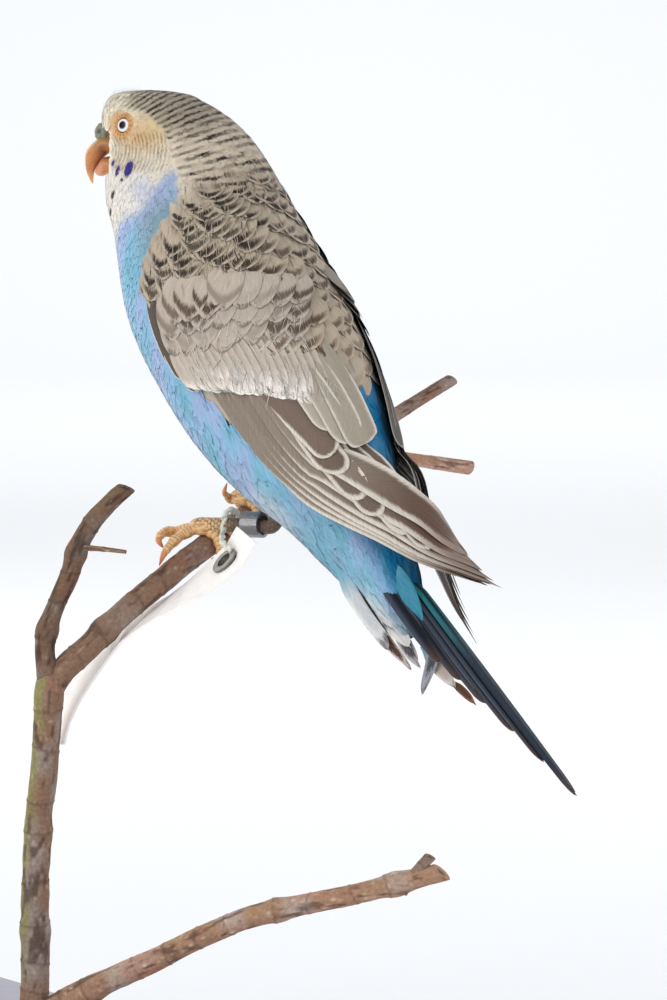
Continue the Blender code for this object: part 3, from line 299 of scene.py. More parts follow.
def addNode(tree, kind, inputs=(), **settings):
    # One node with its settings, its inputs linked from sockets or set to values
    made = tree.nodes.new("ShaderNode" + kind)
    for key, value in settings.items():
        setattr(made, key, value)
    for key, value in dict(inputs).items():
        if isinstance(value, bpy.types.NodeSocket):
            tree.links.new(value, made.inputs[key])
        else:
            made.inputs[key].default_value = value
    return made


def math2(tree, operation, first, second=0.0):
    # One sum or function of two values
    return addNode(tree, "Math", {0: first, 1: second}, operation=operation).outputs[0]


def mapRange(tree, value, low, high, outLow=0.0, outHigh=1.0, smooth=True):
    # low to high becomes outLow to outHigh, straight or by 3s^2 - 2s^3
    kind = "SMOOTHSTEP" if smooth else "LINEAR"
    made = addNode(tree, "MapRange", {"Value": value, "From Min": low, "From Max": high,
                                                "To Min": outLow, "To Max": outHigh}, interpolation_type=kind)
    return made.outputs["Result"]


def mixOf(tree, kind, share, first, second):
    # Two colours or vectors mixed; the node has sockets of one name for every kind of value
    made = addNode(tree, "Mix", {"Factor": share}, data_type=kind)
    for name, value in (("A", first), ("B", second)):
        tree.links.new(value, [s for s in made.inputs if s.name == name and s.type == kind][0])
    return [s for s in made.outputs if s.type == kind][0]


def newMaterial(name, roughness=0.6, metallic=0.0, specular=0.5, sheen=0.0, coat=0.0, colour=(0.5, 0.5, 0.5)):
    # A plain surface of these values
    material = bpy.data.materials.new(name)
    material.use_nodes = True
    shader = material.node_tree.nodes["Principled BSDF"]
    shader.inputs["Base Color"].default_value = (*colour, 1.0)
    for key, value in (("Roughness", roughness), ("Metallic", metallic), ("Specular IOR Level", specular),
                       ("Sheen Weight", sheen), ("Coat Weight", coat)):
        shader.inputs[key].default_value = value
    return material, material.node_tree, shader


def readAttribute(tree, name, output):  # one vertex value by its name
    return addNode(tree, "Attribute", attribute_name=name).outputs[output]


def finishShader(tree, shader, colour, dim, height, relief, distance, **more):
    # The colour times a brightness, and bumps of a distance in millimetres
    scaled = addNode(tree, "VectorMath", {0: colour, "Scale": dim}, operation="SCALE").outputs[0]
    tree.links.new(scaled, shader.inputs["Base Color"])
    lift = addNode(tree, "Bump", {"Height": height, "Strength": relief, "Distance": distance * mm, **more})
    tree.links.new(lift.outputs[0], shader.inputs["Normal"])


def plumageMaterial(name, sweep, fineness, length, ragged, contrast, sheen, relief=0.25, edge=0.14, level=0.6,
                    roughness=0.72, specular=0.2, soft=0.8):
    # Light tint, or dark shade where the wave of the phase is high, its edge made ragged by the barbs
    material, tree, shader = newMaterial(name, roughness=roughness, sheen=sheen, specular=specular)
    shader.inputs["Sheen Roughness"].default_value = 0.5
    # Streaks along the barbs, which sweep out from the shaft towards the tip
    split = addNode(tree, "SeparateXYZ", {0: addNode(tree, "UVMap", uv_map="Vane").outputs[0]}).outputs
    swept = math2(tree, "MULTIPLY", math2(tree, "ABSOLUTE", split["X"]), sweep)
    across = math2(tree, "MULTIPLY", math2(tree, "SUBTRACT", split["Y"], swept), fineness)
    run = math2(tree, "MULTIPLY", split["X"], length)
    place = addNode(tree, "CombineXYZ", {"X": across, "Y": run}).outputs[0]
    noise = addNode(tree, "TexNoise", {"Vector": place, "Scale": 1.0, "Detail": 3.0, "Roughness": 0.6},
                    noise_dimensions="2D")
    streak = mapRange(tree, noise.outputs[0], 0.3, 0.7)
    tint, shade = (readAttribute(tree, key, "Color") for key in ("tint", "shade"))
    phase, depth = (readAttribute(tree, key, "Fac") for key in ("phase", "depth"))
    wave = math2(tree, "COSINE", math2(tree, "MULTIPLY", phase, 2 * math.pi))
    wave = math2(tree, "SUBTRACT", 0.5, math2(tree, "MULTIPLY", wave, 0.5))
    wave = math2(tree, "ADD", wave, math2(tree, "MULTIPLY", math2(tree, "SUBTRACT", streak, 0.5), ragged))
    dark = math2(tree, "MULTIPLY", mapRange(tree, wave, level - edge, level + edge), depth)
    colour = mixOf(tree, "RGBA", dark, tint, shade)
    dim = mapRange(tree, streak, 0.0, 1.0, 1.0 - contrast, 1.0 + 0.35 * contrast, smooth=False)
    # The normal leans from the vane's own towards that of the coat as a whole
    own = addNode(tree, "NewGeometry").outputs["Normal"]
    lay = readAttribute(tree, "lay", "Vector")
    mixed = mixOf(tree, "VECTOR", soft, own, lay)
    smooth = addNode(tree, "VectorMath", {0: mixed}, operation="NORMALIZE").outputs[0]
    finishShader(tree, shader, colour, dim, streak, relief, 0.15, Normal=smooth)
    return material


# The coat's sheet: meridians that fan out from the bill's root over head, neck and body to the undertail
coat = {
    "rows": 150, "cols": 128, "step": 0.5,
    "overCrown": (0.0, 5.9, 11.7, 17.5, 25.2, 33.6, 41.6, 50.8, 58.5, 64.6),
    "downThroat": (0.0, 6.5, 9.6, 11.7, 14.0, 16.3, 18.7, 21.3, 23.8, 26.2),
    "from": 27.0, "to": -69.0, "lengths": 12, "billFrom": -10.5,
}


def makeBodyTree():
    # The body's rings as closed quads, closer together at the crown, for rays to meet
    crown = 61.35 - 6.35 * np.sin(np.linspace(0.5 * math.pi, 0.0, 40))[::-1] ** 2
    along = np.concatenate([np.linspace(-69.0, 54.9, 160), np.sort(crown)])
    turn = (np.arange(96) + 0.5) * math.pi / 48  # no edge lies on the line over the back
    places = bodyPlace(along[:, None], turn[None])
    faces = gridFaces(len(along), len(turn), loop=True)
    return BVHTree.FromPolygons(places.reshape(-1, 3).tolist(), faces.tolist())


def placesAt(at, keys, places):  # straight lines between the places at the keys
    return np.stack([np.interp(at, keys, places[:, k]) for k in range(3)], -1)


def makeCoatSheet():
    # Each section runs from a place on the line over the crown and back to one down the throat and belly
    top = bird["rings"][-1][0]
    near = np.sinh(np.linspace(-6.0, 6.0, 3001))
    signed = near / near[-1] * (top + 69.0)
    sagittal = bodyPlace(top - np.abs(signed), np.where(signed > 0, 0.0, math.pi))
    arc = running(sagittal) / mm
    arc -= np.interp(coat["billFrom"], signed, arc)
    rest = top - np.linspace(coat["from"], coat["to"], coat["lengths"] + 1)[1:]
    back = np.concatenate([coat["overCrown"], np.interp(rest, signed, arc)])
    front = -np.concatenate([coat["downThroat"], -np.interp(-rest, signed, arc)])
    keys = np.arange(len(back), dtype=float)
    rows = np.linspace(0.02, keys[-1] - 0.02, coat["rows"])
    back = smoothAt(keys, back, rows)
    front = smoothAt(keys, front, rows)
    high, low = placesAt(back, arc, sagittal), placesAt(front, arc, sagittal)
    yaws = [np.interp(top - np.abs(np.interp(v, arc, signed)), ringTable[:, 0], ringTable[:, 3])
            for v in (back, front)]
    left = leftward((yaws[0] + yaws[1]) / 2)
    rise = high - low
    rise = unit(rise - left * np.sum(rise * left, axis=-1, keepdims=True))
    middle = (high + low) / 2
    turn = np.linspace(0.0, 2 * math.pi, coat["cols"] + 1)
    way = rise[:, None] * np.cos(turn)[None, :, None] + left[:, None] * np.sin(turn)[None, :, None]
    tree = makeBodyTree()
    starts = np.broadcast_to(middle[:, None], way.shape).reshape(-1, 3).tolist()
    hits = [tree.ray_cast(a, b)[3] for a, b in zip(starts, way.reshape(-1, 3).tolist())]
    reach = np.array(hits, float).reshape(way.shape[:2])
    # A ray that slips between two faces takes the middle value of those round it
    ring = reach[:, :-1]
    for line in ring:
        hit = ~np.isnan(line)
        spots = np.arange(len(line))
        line[~hit] = np.interp(spots[~hit], spots[hit], line[hit], period=len(line)) if hit.any() else 0.0
    near = np.median(np.stack([np.roll(ring, k, axis=1) for k in range(-5, 6)]), axis=0)
    ring = np.where(np.abs(ring - near) <= 0.12 * near, ring, near)
    ring = np.minimum(ring, 0.75 * np.linalg.norm(high - low, axis=-1)[:, None] + 0.2 * mm)
    reach = np.concatenate([ring, ring[:, :1]], axis=1)
    for _ in range(2):
        soften(reach)
    places = middle[:, None] + way * reach[..., None]
    places[:, -1] = places[:, 0]
    run = running(places / mm) + np.linalg.norm(places[0] - places[0].mean(axis=0), axis=-1) / mm
    far = np.arange(0.0, run.max(), coat["step"])
    even = np.stack([placesAt(far, run[:, c], places[:, c]) for c in range(len(turn))], axis=1)
    return tree, places, far, turn, even, run[-1]


bodyTree, skinGrid, coatRun, coatTurn, coatGrid, coatEnd = makeCoatSheet()


def gridNormals(grid, wrap):
    # Step to the next column cross step to the next row
    ahead = np.gradient(grid, axis=0)
    if wrap:
        ring = grid[:, :-1]
        beside = np.roll(ring, -1, axis=1) - np.roll(ring, 1, axis=1)
        beside = np.concatenate([beside, beside[:, :1]], axis=1)
    else:
        beside = np.gradient(grid, axis=1)
    return unit(np.cross(beside, ahead))


def sampler(rowKeys, colKeys, *grids):
    # Bilinear reading of the grids at any row and column value
    def read(row, col):  # (1 - s)(1 - t), (1 - s) t, s (1 - t) and s t of the four round it
        r = np.clip(np.interp(row, rowKeys, np.arange(len(rowKeys))), 0, len(rowKeys) - 1.001)
        c = np.clip(np.interp(col, colKeys, np.arange(len(colKeys))), 0, len(colKeys) - 1.001)
        i, j = r.astype(int), c.astype(int)
        s, t = (r - i)[..., None], (c - j)[..., None]
        return [(g[i, j] * (1 - t) + g[i, j + 1] * t) * (1 - s) + (g[i + 1, j] * (1 - t) + g[i + 1, j + 1] * t) * s
                for g in grids]
    return read


coatNormals = gridNormals(coatGrid, wrap=True)
outward = np.sign(np.sum(coatNormals[60, 0] * bodyBack))
coatNormals = coatNormals * outward
readCoat = sampler(coatRun, coatTurn, coatGrid, coatNormals)


def onCoat(run, turn):  # place and normal at a length from the bill and an angle
    place, normal = readCoat(run, np.mod(turn, 2 * math.pi))
    return place, unit(normal)


print("coat sheet laid:", coatGrid.shape)

# The folded wings' sheets, as rings of place along, rise, own radius, lower and upper edge angles
wings = {
    "left": {"side": 1, "lift": 1.0, "rings": [
        (29.0, 6.0, 0.0, 60, 44), (24.0, 5.8, 0.0, 86, 36), (17.0, 4.0, 0.0, 101, 28), (5.0, 2.5, 0.0, 105, 18),
        (-10.0, 2.0, 0.0, 99, 13), (-22.0, 1.8, 0.0, 88, 12), (-35.0, 2.0, 16.2, 76, 20),
        (-49.0, 3.5, 14.6, 60, 32), (-59.0, 5.0, 12.0, 44, 14), (-67.0, 8.5, 10.8, 20, -4),
        (-75.0, 13.5, 10.5, -6, -14)]},
    "right": {"side": -1, "lift": 0.7, "rings": [
        (29.0, 6.0, 0.0, 66, 56), (24.0, 5.8, 0.0, 86, 54), (17.0, 4.0, 0.0, 101, 50), (5.0, 2.5, 0.0, 105, 43),
        (-10.0, 2.0, 0.0, 99, 35), (-22.0, 1.8, 0.0, 88, 29), (-35.0, 2.0, 14.6, 76, 26),
        (-49.0, 3.0, 11.8, 60, 30), (-59.0, 3.5, 9.6, 50, 20), (-67.0, 3.8, 8.0, 46, 20),
        (-77.0, 4.0, 7.4, 40, 24)]},
    "core": {"from": 28.4, "to": -34.3, "standsOff": 0.35},
}


def makeWingSheet(side, rings):
    # Distance from the centre line: the body's own surface by rays, or the wing's own radius past it
    table = np.array(rings)[::-1]
    along = np.linspace(table[0, 0], table[-1, 0], 110)
    turn = np.linspace(-20.0, 112.0, 70)
    values = smoothAt(table[:, 0], table[:, 1:], along)
    start = inBody(along, 0.0, values[:, 0])
    way = np.sin(np.radians(turn))[:, None] * bodyLeft * side + np.cos(np.radians(turn))[:, None] * bodyBack
    far = (start[:, None] + way[None] * 0.045).reshape(-1, 3).tolist()
    back = np.broadcast_to(-way[None], (len(along), len(turn), 3)).reshape(-1, 3).tolist()
    hits = [bodyTree.ray_cast(a, b, 0.045)[3] for a, b in zip(far, back)]
    wall = np.array([0.0 if hit is None else 45.0 - hit / mm for hit in hits]).reshape(len(along), len(turn))
    reach = np.maximum(wall, values[:, 1:2])
    for _ in range(6):
        soft = reach.copy()
        soften(soft)
        reach = np.maximum(reach, soft)
    grid = start[:, None] + way[None] * reach[..., None] * mm
    normals = gridNormals(grid, wrap=False)
    normals = normals * np.sign(np.sum(normals * way[None], axis=-1, keepdims=True))
    read = sampler(along, turn, grid, normals)

    def onWing(a, t):  # place and normal at a place along and an angle
        place, normal = read(a, t)
        return place, unit(normal)

    def edges(a):  # lower and upper edge angles at a place along
        both = smoothAt(table[:, 0], table[:, 3:], a)
        return both[..., 0], both[..., 1]
    return onWing, edges


for key in ("left", "right"):
    wings[key]["on"], wings[key]["edges"] = makeWingSheet(wings[key]["side"], wings[key]["rings"])
print("wing sheets laid")


def coreHeight(share, along, lift):
    # Height of the wing's front part over the body, in millimetres, at a share of its way up
    s = np.clip((wings["core"]["from"] - along) / (wings["core"]["from"] - wings["core"]["to"]), 0, 1) ** (1 / 1.5)
    crest = 0.55 + 1.5 * np.maximum(0.0, np.sin(math.pi * np.minimum(1.0, 0.12 + s))) ** 0.7
    return wings["core"]["standsOff"] + lift * crest * np.sin(math.pi * (0.08 + 0.84 * np.clip(share, 0, 1))) ** 0.6


def wingShare(wing, along, turn):  # share of the way from a wing's lower to its upper edge
    low, high = wing["edges"](along)
    return (low - turn) / np.maximum(low - high, 1.0)


def wingCover(along, turnDegrees):
    # That share, or -1 outside both wings, and how high the wing stands there
    height = np.zeros_like(along)
    inside = np.full(along.shape, -1.0)
    for key in ("left", "right"):
        wing = wings[key]
        turn = turnDegrees * wing["side"]
        share = wingShare(wing, along, turn)
        mine = (turn > 0) & (along < 28.5) & (along > -34.0) & (share > 0) & (share < 1)
        rise = coreHeight(share, along, wing["lift"])
        height = np.where(mine, rise, height)
        inside = np.where(mine, share, inside)
    return inside, height


def makeCover():
    # The wings' height as one soft field over the body: highest neighbour first, then blurred
    along = np.linspace(-40.0, 34.0, 75)
    turn = np.linspace(-124.0, 124.0, 125)
    height = wingCover(*np.meshgrid(along, turn, indexing="ij"))[1]
    for grid in (height, height.T) * 2:
        grid[1:-1] = np.maximum(grid[1:-1], np.maximum(grid[:-2], grid[2:]))
    for _ in range(5):
        soften(height)
        soften(height.T)
    return sampler(along, turn, height[..., None])


readCover = makeCover()


def coverOver(place):  # how high the wings stand over the body at these places, in millimetres
    return readCover(*bodyCoordinates(place))[0][..., 0]


def featherSteps(rows, towardTip=1.0):  # even steps, or closer together towards the tip
    return 1 - (1 - np.linspace(0.0, 1.0, rows)) ** towardTip


def outline(v, roundFrom=0.6, root=0.45):
    # Half width along a feather: from a narrower root to full, then a half ellipse to the tip
    swell = root + (1 - root) * ramp(0.0, roundFrom * 0.8, v)
    tip = np.sqrt(np.clip(1 - ((v - roundFrom) / (1 - roundFrom)) ** 2, 0.0, 1.0))
    return np.where(v < roundFrom, swell, tip)


def featherSheets(place, normal, half, cols, camber=0.12, fringe=0.0, seed=1, shaft=0.0, pull=0.6):
    # Each feather: spine + across * half width * u - normal * camber * half width * u^2;
    # each column is pulled back or pushed on by a random share of the length, which grows to the tip
    rng = np.random.default_rng(seed)
    count, rows = half.shape
    along = unit(np.gradient(place, axis=1))
    across = unit(np.cross(normal, along))
    u = np.linspace(-1.0, 1.0, cols)
    offset = across[:, :, None] * (half[..., None] * u)[..., None]
    sag = camber * half[..., None] * u**2 - shaft * (np.abs(u) < 0.01)
    co = place[:, :, None] + offset - normal[:, :, None] * sag[..., None]
    if fringe:
        far = np.linalg.norm(place[:, -1] - place[:, 0], axis=-1)[:, None, None]
        grow = ramp(0.5, 1.0, np.linspace(0.0, 1.0, rows))[None, :, None]
        co = co + along[:, :, None] * (rng.uniform(-1.0, pull, (count, 1, cols)) * fringe * grow * far)[..., None]
    return co


def fieldOf(v, cols, count, roundFrom, root):
    # 0 at the middle of a feather and 1 along its rounded outline, for edges and crescents
    x = np.linspace(-1.0, 1.0, cols)[None] * outline(v, roundFrom, root)[:, None]
    y = np.clip((v[:, None] - roundFrom) / (1 - roundFrom), 0.0, 1.0)
    return np.sqrt(x**2 + y**2)[None] * np.ones((count, 1, 1))


def vaneMap(place, half, cols, seed):
    # Millimetres across and along each feather, shifted by a random length so that no two match
    rng = np.random.default_rng(seed)
    count = len(half)
    run = running(np.swapaxes(place, 0, 1)).T / mm
    x = half[..., None] * np.linspace(-1.0, 1.0, cols) / mm
    return pairs(x, run[..., None] + rng.uniform(0, 400, (count, 1, 1)))


def bakeMap(rootU, rootV, rows, cols):
    # A patch 0.003 across at each root's place on the unwrap
    u = np.linspace(-0.5, 0.5, cols)[None, None, :] * 0.003
    v = np.linspace(-0.5, 0.5, rows)[None, :, None] * 0.003
    return pairs(rootU[:, None, None] + u, rootV[:, None, None] + v)


def featherPiece(name, material, co, normal, vane, bakeAt, tints, shades, phase, depth, flip=True, instead=""):
    # Feathers as rows and columns of places; the lay is that of the surface under them
    count, rows, cols = co.shape[:3]
    faces = gridFaces(rows, cols, count=count)
    makePiece(name, co, faces[:, ::-1] if flip else faces, material,
              [("Vane", vane), ("OFBake", bakeMap(*bakeAt, rows, cols))], [("tint", tints), ("shade", shades)],
              [("phase", phase), ("depth", depth)], np.broadcast_to(normal[:, :, None], co.shape), instead)
    print(name, count, "feathers", len(faces) * 2, "triangles")


# The coat's colours, as screen values
hues = readTones(
    cream=(238, 228, 204), beige=(214, 198, 172), beigeNape=(206, 190, 170), neckWhite=(226, 214, 192),
    mantle=(188, 172, 152), wingPale=(212, 200, 184), bar=(44, 36, 32), barSoft=(84, 70, 58),
    coverBar=(96, 74, 60), peach=(218, 190, 150), orange=(212, 150, 84), yellow=(212, 194, 132),
    white=(234, 231, 226), throat=(238, 232, 220), lilac=(168, 184, 222), violet=(54, 42, 128),
    spot=(52, 44, 38), turquoise=(116, 182, 202), sky=(146, 190, 222), azure=(6, 116, 166),
    greyTeal=(132, 158, 168), bellyPale=(196, 212, 226),
    undertail=(122, 178, 198),
)

# Places on the head in millimetres forward and up from the bill's root
marks = {
    "barPivot": (21.1, -14.8), "gape": (1.5, -1.5), "eye": (-3.8, 3.7),
    "patches": [((-2.3, -4.2), (0.55, 0.85), "violet"), ((-3.7, -5.9), (0.6, 1.35), "violet"),
                ((-6.6, -5.4), (1.1, 1.9), "violet"), ((-2.5, -10.8), (0.55, 1.1), "spot"),
                ((-1.5, -14.5), (0.5, 1.1), "spot"), ((-5.0, -7.7), (0.5, 0.5), "spot")],
    "fan": np.linspace(-30.0, 75.0, 400), "fanKeys": (-30.0, -8.0, 0.0, 8.0, 20.0, 40.0, 75.0),
    "fanPeriods": (4.0, 3.4, 2.7, 2.2, 1.95, 1.65, 1.55),
}


def fromMark(name, forward, rise):  # distance from a marked place on the head
    x, z = marks[name]
    return np.hypot(forward - x, rise - z)


def barPhase(forward, rise):
    # Bars lie on rays from a pivot ahead of the throat; the phase counts them from the forehead down
    x, z = marks["barPivot"]
    angle = np.degrees(np.arctan2(rise - z, x - forward))
    period = np.interp(marks["fan"], marks["fanKeys"], marks["fanPeriods"])
    count = np.concatenate([[0.0], np.cumsum(np.diff(marks["fan"]) / period[1:])])
    return np.interp(angle, marks["fan"], count)


def blueOf(along, turn):
    # The blue field lies below the white throat, and outside the beige of neck, mantle and wings
    whiteEdge = 34.0 + 4.2 * np.clip((180 - turn) / 110, 0, 1) + 1.2 * np.sin(turn * 0.11)
    edge = np.interp(along, [-45, -22, -17, -13, -8, 5, 17, 24.3, 27.6, 29.2, 30.6, 36.0, 40.0],
                     [-10, -10, 0, 36, 100, 106, 103, 101, 92, 82, 70, 64, 62])
    wave = 1.2 * np.sin(along * 1.9) + 0.8 * np.sin(along * 4.3 + 1)
    below = ramp(84.0, 90.0, turn) * ramp(2.0, -4.0, along)
    return ramp(1.6, -2.2, along - whiteEdge) * np.maximum(ramp(-3.0, 4.0, turn - edge + wave), below)


def coatColours(places, rng, spread=0.05, plain=False):
    # Tint, shade, phase and depth at each vertex, from where it lies on the head and body
    forward, rise, side = headCoordinates(places)
    along, turn = bodyCoordinates(places)
    turn = np.abs(turn)
    shape = places.shape[:-1]

    def each(low, high):  # one random value for each feather
        return rng.uniform(low, high, (shape[0],) + (1,) * (len(shape) - 1)) * np.ones(shape)

    phase = barPhase(forward, rise) + each(-0.14, 0.14)
    wobble = np.sin(forward * 1.7 + rise * 0.9) * 0.08
    blue = blueOf(along, turn) * (0.0 if plain else 1.0)
    crown = np.interp(forward, [-40, -26, -19, -16.5, -14, -10, -6.5, -3.0, -0.5, 2.0],
                      [-40, -12.5, -7.5, -3.0, 3.0, 6.2, 7.0, 7.2, 7.6, 11.0])
    barred = ramp(-0.8, 1.0, rise - crown + wobble) * (1 - blue)
    barred = np.where(forward < -24.0, np.maximum(barred, ramp(-23.5, -26.0, forward) * (1 - blue)), barred)
    behind = np.hypot((forward + 9.5) / 7.0, (rise - 2.4) / 4.6)
    # Light tints
    cheek = ramp(-0.5, -4.0, forward) * ramp(-18.0, -14.5, forward) * ramp(-6.7, -5.2, rise) * ramp(3.4, 1.0, rise)
    low = ramp(-5.2, -7.4, rise + 0.22 * np.clip(-forward - 8, 0, 30)) * ramp(-17.0, -13.0, forward)
    lilac = bump(np.hypot(forward + 12.5, (rise + 9.4) * 1.2), 0.0, 4.8)
    pale = ramp(12.0, -6.0, along) * ramp(24.0, 60.0, turn)
    swirl = np.sin(along * 0.31 + turn * 0.075) * np.sin(along * 0.13 - turn * 0.051 + 1.3)
    swirl = swirl + 0.35 * np.sin(along * 0.7 + turn * 0.2)
    strip = ramp(-13.0, -18.0, along) * ramp(75.0, 35.0, turn)
    body = paint(
        hues, "sky", ("turquoise", ramp(-0.1, 0.9, swirl) * 0.7), ("lilac", ramp(0.0, -0.8, swirl) * 0.75),
        ("greyTeal", ramp(22.0, 29.0, along) * ramp(118.0, 96.0, turn) * 0.8), ("lilac", ramp(31.0, 36.0, along) * 0.7),
        ("bellyPale", bump(along, -13.0, 4.5) * ramp(60.0, 25.0, turn) * 0.8),
        ("azure", strip * (1.0 - 0.15 * ramp(0.2, 0.9, np.sin(along * 0.55 + turn * 0.12)))),
        ("undertail", ramp(-28.0, -40.0, along) * ramp(60.0, 95.0, turn) * 0.6),
        ("white", ramp(-52.0, -64.0, along) * ramp(70.0, 110.0, turn) * 0.85),
        ("bellyPale", ramp(125.0, 165.0, turn) * 0.55),
        ("white", bump(along, -33.0, 6.0) * ramp(96.0, 120.0, turn) * 0.5))
    tint = paint(
        hues, "cream", ("neckWhite", ramp(-13.0, -18.0, forward)),
        ("beigeNape", barred * ramp(-8.0, -20.0, forward) * 0.8), ("beige", cheek * 0.75 * (1 - barred)),
        ("peach", ramp(1.25, 0.5, behind) * 0.75 * (1 - barred * 0.8)),
        ("yellow", bump(np.hypot(forward + 12.0, (rise - 2.6) * 0.8), 0.0, 2.6) * 0.4),
        ("orange", bump(np.hypot((forward + 8.4) * 0.8, (rise - 1.4) * 1.3), 0.0, 2.8) * 0.4),
        ("orange", ramp(3.7, 2.3, fromMark("eye", forward, rise)) * 0.65), ("throat", low),
        ("lilac", np.clip(lilac * 0.8, 0, 1) * (1 - barred)), ("mantle", ramp(38.0, 28.0, along) * (1 - blue)),
        ("wingPale", pale * (1 - blue)))
    tint = blend(tint, body, blue) * (1 + each(-spread, spread))[..., None]
    # Dark shades, and how strongly they show
    front = ramp(0.5, -6.0, forward)
    neck = ramp(-7.0, -12.0, rise) * ramp(-32.0, -22.0, forward)
    strength = barred * front * (0.5 + 0.5 * ramp(-3.0, -9.0, forward)) * (1 - 0.6 * neck)
    apart = fromMark("barPivot", forward, rise)
    broken = 0.72 + 0.5 * np.sin(apart * 0.62 + np.floor(phase) * 2.4) + 0.2 * np.sin(apart * 1.9 + np.floor(phase))
    paleSide = np.exp(-((forward + 14.5) / 5.0) ** 2 - ((rise + 6.0) / 4.5) ** 2)
    crownShare = ramp(0.0, 5.0, rise) * ramp(-30.0, -20.0, forward)
    strength = strength * np.clip(broken + 0.5 * crownShare, 0.2, 1.0) * (1 - 0.7 * paleSide)
    tint = blend(tint, hues["mantle"] * 0.68, barred * crownShare * ramp(-3.0, -8.0, forward) * 0.75)
    tint = blend(tint, hues["neckWhite"] * 1.12, paleSide * 0.8 * (1 - blue))
    depth = np.clip(strength * each(0.55, 1.2), 0, 1)
    gapeX, gapeZ = marks["gape"]
    ring = np.hypot(forward - gapeX, (rise - gapeZ) * 1.25) / 0.85
    inCheek = cheek * (1 - barred)
    phase = np.where(inCheek > 0.25, ring + each(-0.12, 0.12), phase)
    depth = np.where(inCheek > 0.25, inCheek * each(0.15, 0.6), depth)
    shade = paint(hues, "bar", ("barSoft", inCheek))
    for (x, z), (wide, tall), name in marks["patches"]:
        inside = ramp(1.25, 0.8, np.hypot((forward - x + 0.25 * (rise - z)) / wide, (rise - z) / tall)) * (side > 1.5)
        shade = blend(shade, hues[name], inside)
        phase = np.where(inside > 0.3, 0.5, phase)
        depth = np.maximum(depth, inside)
    return tint, shade, phase, depth, along


# Contour feathers: spacing, length and width in millimetres grow with the distance from the bill
tufts = {
    "runs": (0.0, 8.0, 20.0, 34.0, 48.0, 62.0, 80.0, 150.0),
    "spacing": (0.6, 0.75, 0.95, 1.25, 1.6, 1.8, 1.9, 2.0),
    "wider": (1.15,) * 8, "longer": 3.8, "half": 1.1, "rootDepth": 0.35, "tipLift": 0.05, "seed": 11,
    "roundFrom": 0.6, "mantle": False,
    "stray": 0.22,
    "pieces": ((0.0, 16.0, "coatFace", 7, 5), (16.0, 30.0, "coatCrown", 7, 5), (30.0, 48.0, "coatNape", 8, 5),
               (48.0, 72.0, "coatBreast", 8, 5), (72.0, 150.0, "coatBelly", 8, 5)),
}
# Broad feathers of the mantle and the wing's front, each with a dark crescent
mantle = {
    "runs": (0.0, 30.0, 40.0, 48.0, 58.0, 70.0, 150.0), "spacing": (1.2, 1.5, 2.1, 2.5, 2.75, 2.9, 2.9),
    "wider": (1.7, 1.7, 1.8, 2.0, 2.2, 2.2, 2.2), "longer": 2.9, "half": 1.5, "rootDepth": 0.9, "tipLift": 0.3,
    "seed": 17, "stray": 0.07, "roundFrom": 0.4, "mantle": True, "pieces": ((0.0, 150.0, "mantleFeathers", 13, 13),),
}
# Loose barbs over the contour feathers, which carry the colour of their root along their length
wisps = {"runs": tufts["runs"], "spacing": (0.46, 0.55, 0.66, 0.8, 0.95, 1.05, 1.1, 1.2), "wider": (1.15,) * 8,
         "seed": 29, "stray": 0.25, "longer": 3.4, "half": 0.075, "mantle": None}


def coatRoots(settings):
    # Rows at growing distances from the bill, with staggered places round each row
    rng = np.random.default_rng(settings["seed"])
    runs, turns, gaps = [], [], []
    run = 1.0
    row = 0
    while run < coatEnd.max() - 2:
        gap = float(np.interp(run, settings["runs"], settings["spacing"]))
        wider = float(np.interp(run, settings["runs"], settings["wider"]))
        cells = running(onCoat(np.full(97, run), np.linspace(0, 2 * math.pi, 97))[0]) / mm
        count = max(6, int(cells[-1] / (gap * wider)))
        spots = (np.arange(count) + 0.5 * (row % 2) + rng.uniform(-1, 1, count) * settings["stray"]) / count * cells[-1]
        turn = np.interp(np.mod(spots, cells[-1]), cells, np.linspace(0, 2 * math.pi, 97))
        runs.append(np.full(count, run) + rng.uniform(-1, 1, count) * settings["stray"] * gap)
        turns.append(turn)
        gaps.append(np.full(count, gap))
        run += gap
        row += 1
    runs, turns, gaps = (np.concatenate(part) for part in (runs, turns, gaps))
    roots = onCoat(runs, turns)[0]
    along, turn = bodyCoordinates(roots)
    inside = wingCover(along, turn)[0]
    line = np.interp(np.abs(turn), [0, 26, 34, 45, 60, 80, 92, 104], [-60, -9, -4, 0, 6, 10, 15, 18])
    forward, rise, _ = headCoordinates(roots)
    bare = fromMark("eye", forward, rise) < 1.9
    bare |= (forward > -0.7) & (rise < 3.2) & (rise > -6.4)
    keep = (runs < np.interp(turns, coatTurn, coatEnd) - 3.0) & ~bare & ~((inside > 0.04) & (along < line))
    onMantle = (along < 34) & (blueOf(along, np.abs(turn)) < 0.25)
    onMantle &= (inside >= 0) | (np.abs(turn) < 50) | (along > 20)
    if settings["mantle"] is not None:
        keep &= onMantle if settings["mantle"] else ~onMantle | (along > 31)
    else:
        keep &= (along > -20) | ~onMantle
    return [part[keep] for part in (runs, turns, gaps, along, turn, onMantle)]


def coatPaths(runs, turns, along, turn, v, lengths, drift, bend=0.56):
    # Along the meridians from the bill; over the mantle and the wings the feathers turn down and out
    onRow = onCoat(runs, turns + 0.02)[0] - onCoat(runs, turns - 0.02)[0]
    perTurn = np.linalg.norm(onRow, axis=-1) / mm / 0.04
    down = ramp(2.0, 24.0, np.abs(turn)) * ramp(106.0, 86.0, np.abs(turn)) * ramp(40.0, 28.0, along)
    down = down * ramp(-30.0, -12.0, along)
    lean = drift + bend * down * np.sign(turn)
    run = runs[:, None] + (lengths * np.cos(lean))[:, None] * v
    spin = turns[:, None] + (lengths * np.sin(lean) / perTurn)[:, None] * v
    return onCoat(run, spin)


